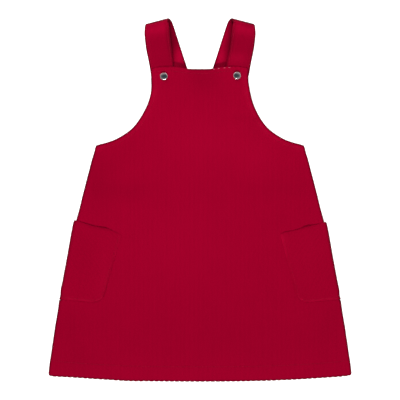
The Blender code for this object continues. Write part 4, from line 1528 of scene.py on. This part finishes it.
dress(dress_front, cord_panels, "needlecord_front", "front_panel")
dress(dress_back, cord_panels, "needlecord_back", "back_panel")
dress(front_stitches, thread, "needlecord_front")
dress(painted_glint_stitches, painted_glint_thread, "needlecord_front")
for side_name in ("left", "right"):
    dress(pockets[side_name], cord_pockets, "needlecord_pocket", "pocket_" + side_name)
    dress(pocket_stitches[side_name], thread, "needlecord_pocket")
    dress(straps[side_name], cord_straps, "needlecord_strap", "strap_" + side_name)
    dress(strap_stitches[side_name], thread, "needlecord_strap")
    dress(snap_caps[side_name], nickel, "snap_nickel", "snap_cap_" + side_name)
    give_material(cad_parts["snap_stud_" + side_name], nickel)

# %% [markdown]
# The flat area that front and back were cut to is printed, in square metres.

# %% State the cuts
print("the cuts of front and back cover", round(front_area + back_area, 4), "square metres")

# %% [markdown]
# ## The table
# The dress lies on a plain table top of white melamine, pressed smooth and matt. To the eye it
# is pure white with hardly a shadow, so it also glows a little, as a lit backdrop does.

# %% The table
select_only()
bpy.ops.mesh.primitive_plane_add(size=30.0, location=(0.0, 0.0, -0.0003))
table = bpy.context.object
table.name = "white_table"
table_white = without_nodes(bpy.data.materials.new("white melamine table top"))
melamine = add_node(table_white, "ShaderNodeBsdfPrincipled", {
    "Base Color": linear("#F4F4F4"), "Roughness": 0.7, "Specular IOR Level": 0.2,
    "Emission Color": linear("#FFFFFF"), "Emission Strength": 0.85})
add_node(table_white, "ShaderNodeOutputMaterial", {"Surface": melamine})
give_material(table, table_white)
print(table.name, "lies at", round(table.location.z / MM, 2), "mm")

# %% [markdown]
# ## Soft lights
# The main light is a wide strip far past the hem, less than 40 degrees up, so it shines up the
# cloth at a slant and shows its relief. A weaker one past the straps lifts their shadows. It has
# a polarising filter, so it doesn't show in the snaps.

# %% Soft lights
def soft_light(name, place, width, height, power):
    """A flat area light that faces the dress."""
    select_only()
    bpy.ops.object.light_add(type="AREA", location=place)
    light = bpy.context.object
    light.name = name
    light.data.shape = "RECTANGLE"
    light.data.size = width
    light.data.size_y = height
    light.data.energy = power
    light.rotation_euler = (-Vector(place)).to_track_quat("-Z", "Y").to_euler()
    print(name, "gives", power, "watts")
    return light


soft_light("light_past_the_hem", place=(0.3, -7.0, 5.4), width=4.6, height=0.7, power=702.0)
fill = soft_light("light_past_the_straps", place=(-0.3, 1.15, 0.58), width=0.5, height=0.5,
                  power=13.5)
fill.visible_glossy = False

# %% [markdown]
# ## The dome
# A pale dome fills in the rest. Its ceiling is darker, an oval that lies a little towards the
# hem, and that is what gives the domed snaps a dark middle inside a bright rim.

# %% The dome
CEILING_STRETCH = 0.55, 1.0, 0.0   # makes the oval longer across the dress
CEILING_SHIFT = 0.0, 0.16, 0.0
CEILING_EDGE = 0.6, 0.26
world = without_nodes(bpy.data.worlds.new("pale dome, darker overhead"))
direction = add_node(world, "ShaderNodeTexCoord").outputs["Generated"]
ceiling = add_node(world, "ShaderNodeVectorMath", {
    0: direction, 1: CEILING_STRETCH, 2: CEILING_SHIFT}, operation="MULTIPLY_ADD")
from_middle = add_node(world, "ShaderNodeVectorMath", {0: ceiling}, operation="LENGTH")
overhead = add_node(world, "ShaderNodeMapRange", {
    "Value": from_middle, "From Min": CEILING_EDGE[0], "From Max": CEILING_EDGE[1]},
    interpolation_type="SMOOTHSTEP")
dome = add_node(world, "ShaderNodeMix", {0: overhead, 6: linear("#F2F2F2"), 7: linear("#4C686C")},
                data_type="RGBA")
sky = add_node(world, "ShaderNodeBackground", {"Color": dome, "Strength": 0.6})
add_node(world, "ShaderNodeOutputWorld", {"Surface": sky})
bpy.context.scene.world = world
bpy.context.scene.view_settings.view_transform = "Standard"
print("the world is a", world.name)

# %% [markdown]
# ## The camera
# The camera looks straight down through a long lens, so that nothing leans. Its place and lens
# follow from how large the dress should be in the picture.

# %% The camera
PICTURE_PIXELS = 400
MM_PER_PIXEL = 1.2
CAMERA_HEIGHT = 3.0
MIDDLE_PIXEL = 200.0, 200.3        # where the middle of the dress falls in the picture
camera_data = bpy.data.cameras.new("camera")
camera = bpy.data.objects.new("camera", camera_data)
bpy.context.scene.collection.objects.link(camera)
camera_data.sensor_width = 36.0
camera_data.lens = camera_data.sensor_width * CAMERA_HEIGHT / (PICTURE_PIXELS * MM_PER_PIXEL * MM)
camera_data.clip_end = 20.0
half_picture = PICTURE_PIXELS / 2
camera.location = ((half_picture - MIDDLE_PIXEL[0]) * MM_PER_PIXEL * MM,
                   (MIDDLE_PIXEL[1] - half_picture) * MM_PER_PIXEL * MM, CAMERA_HEIGHT)
bpy.context.scene.camera = camera
print("lens", round(camera_data.lens, 1), "mm")
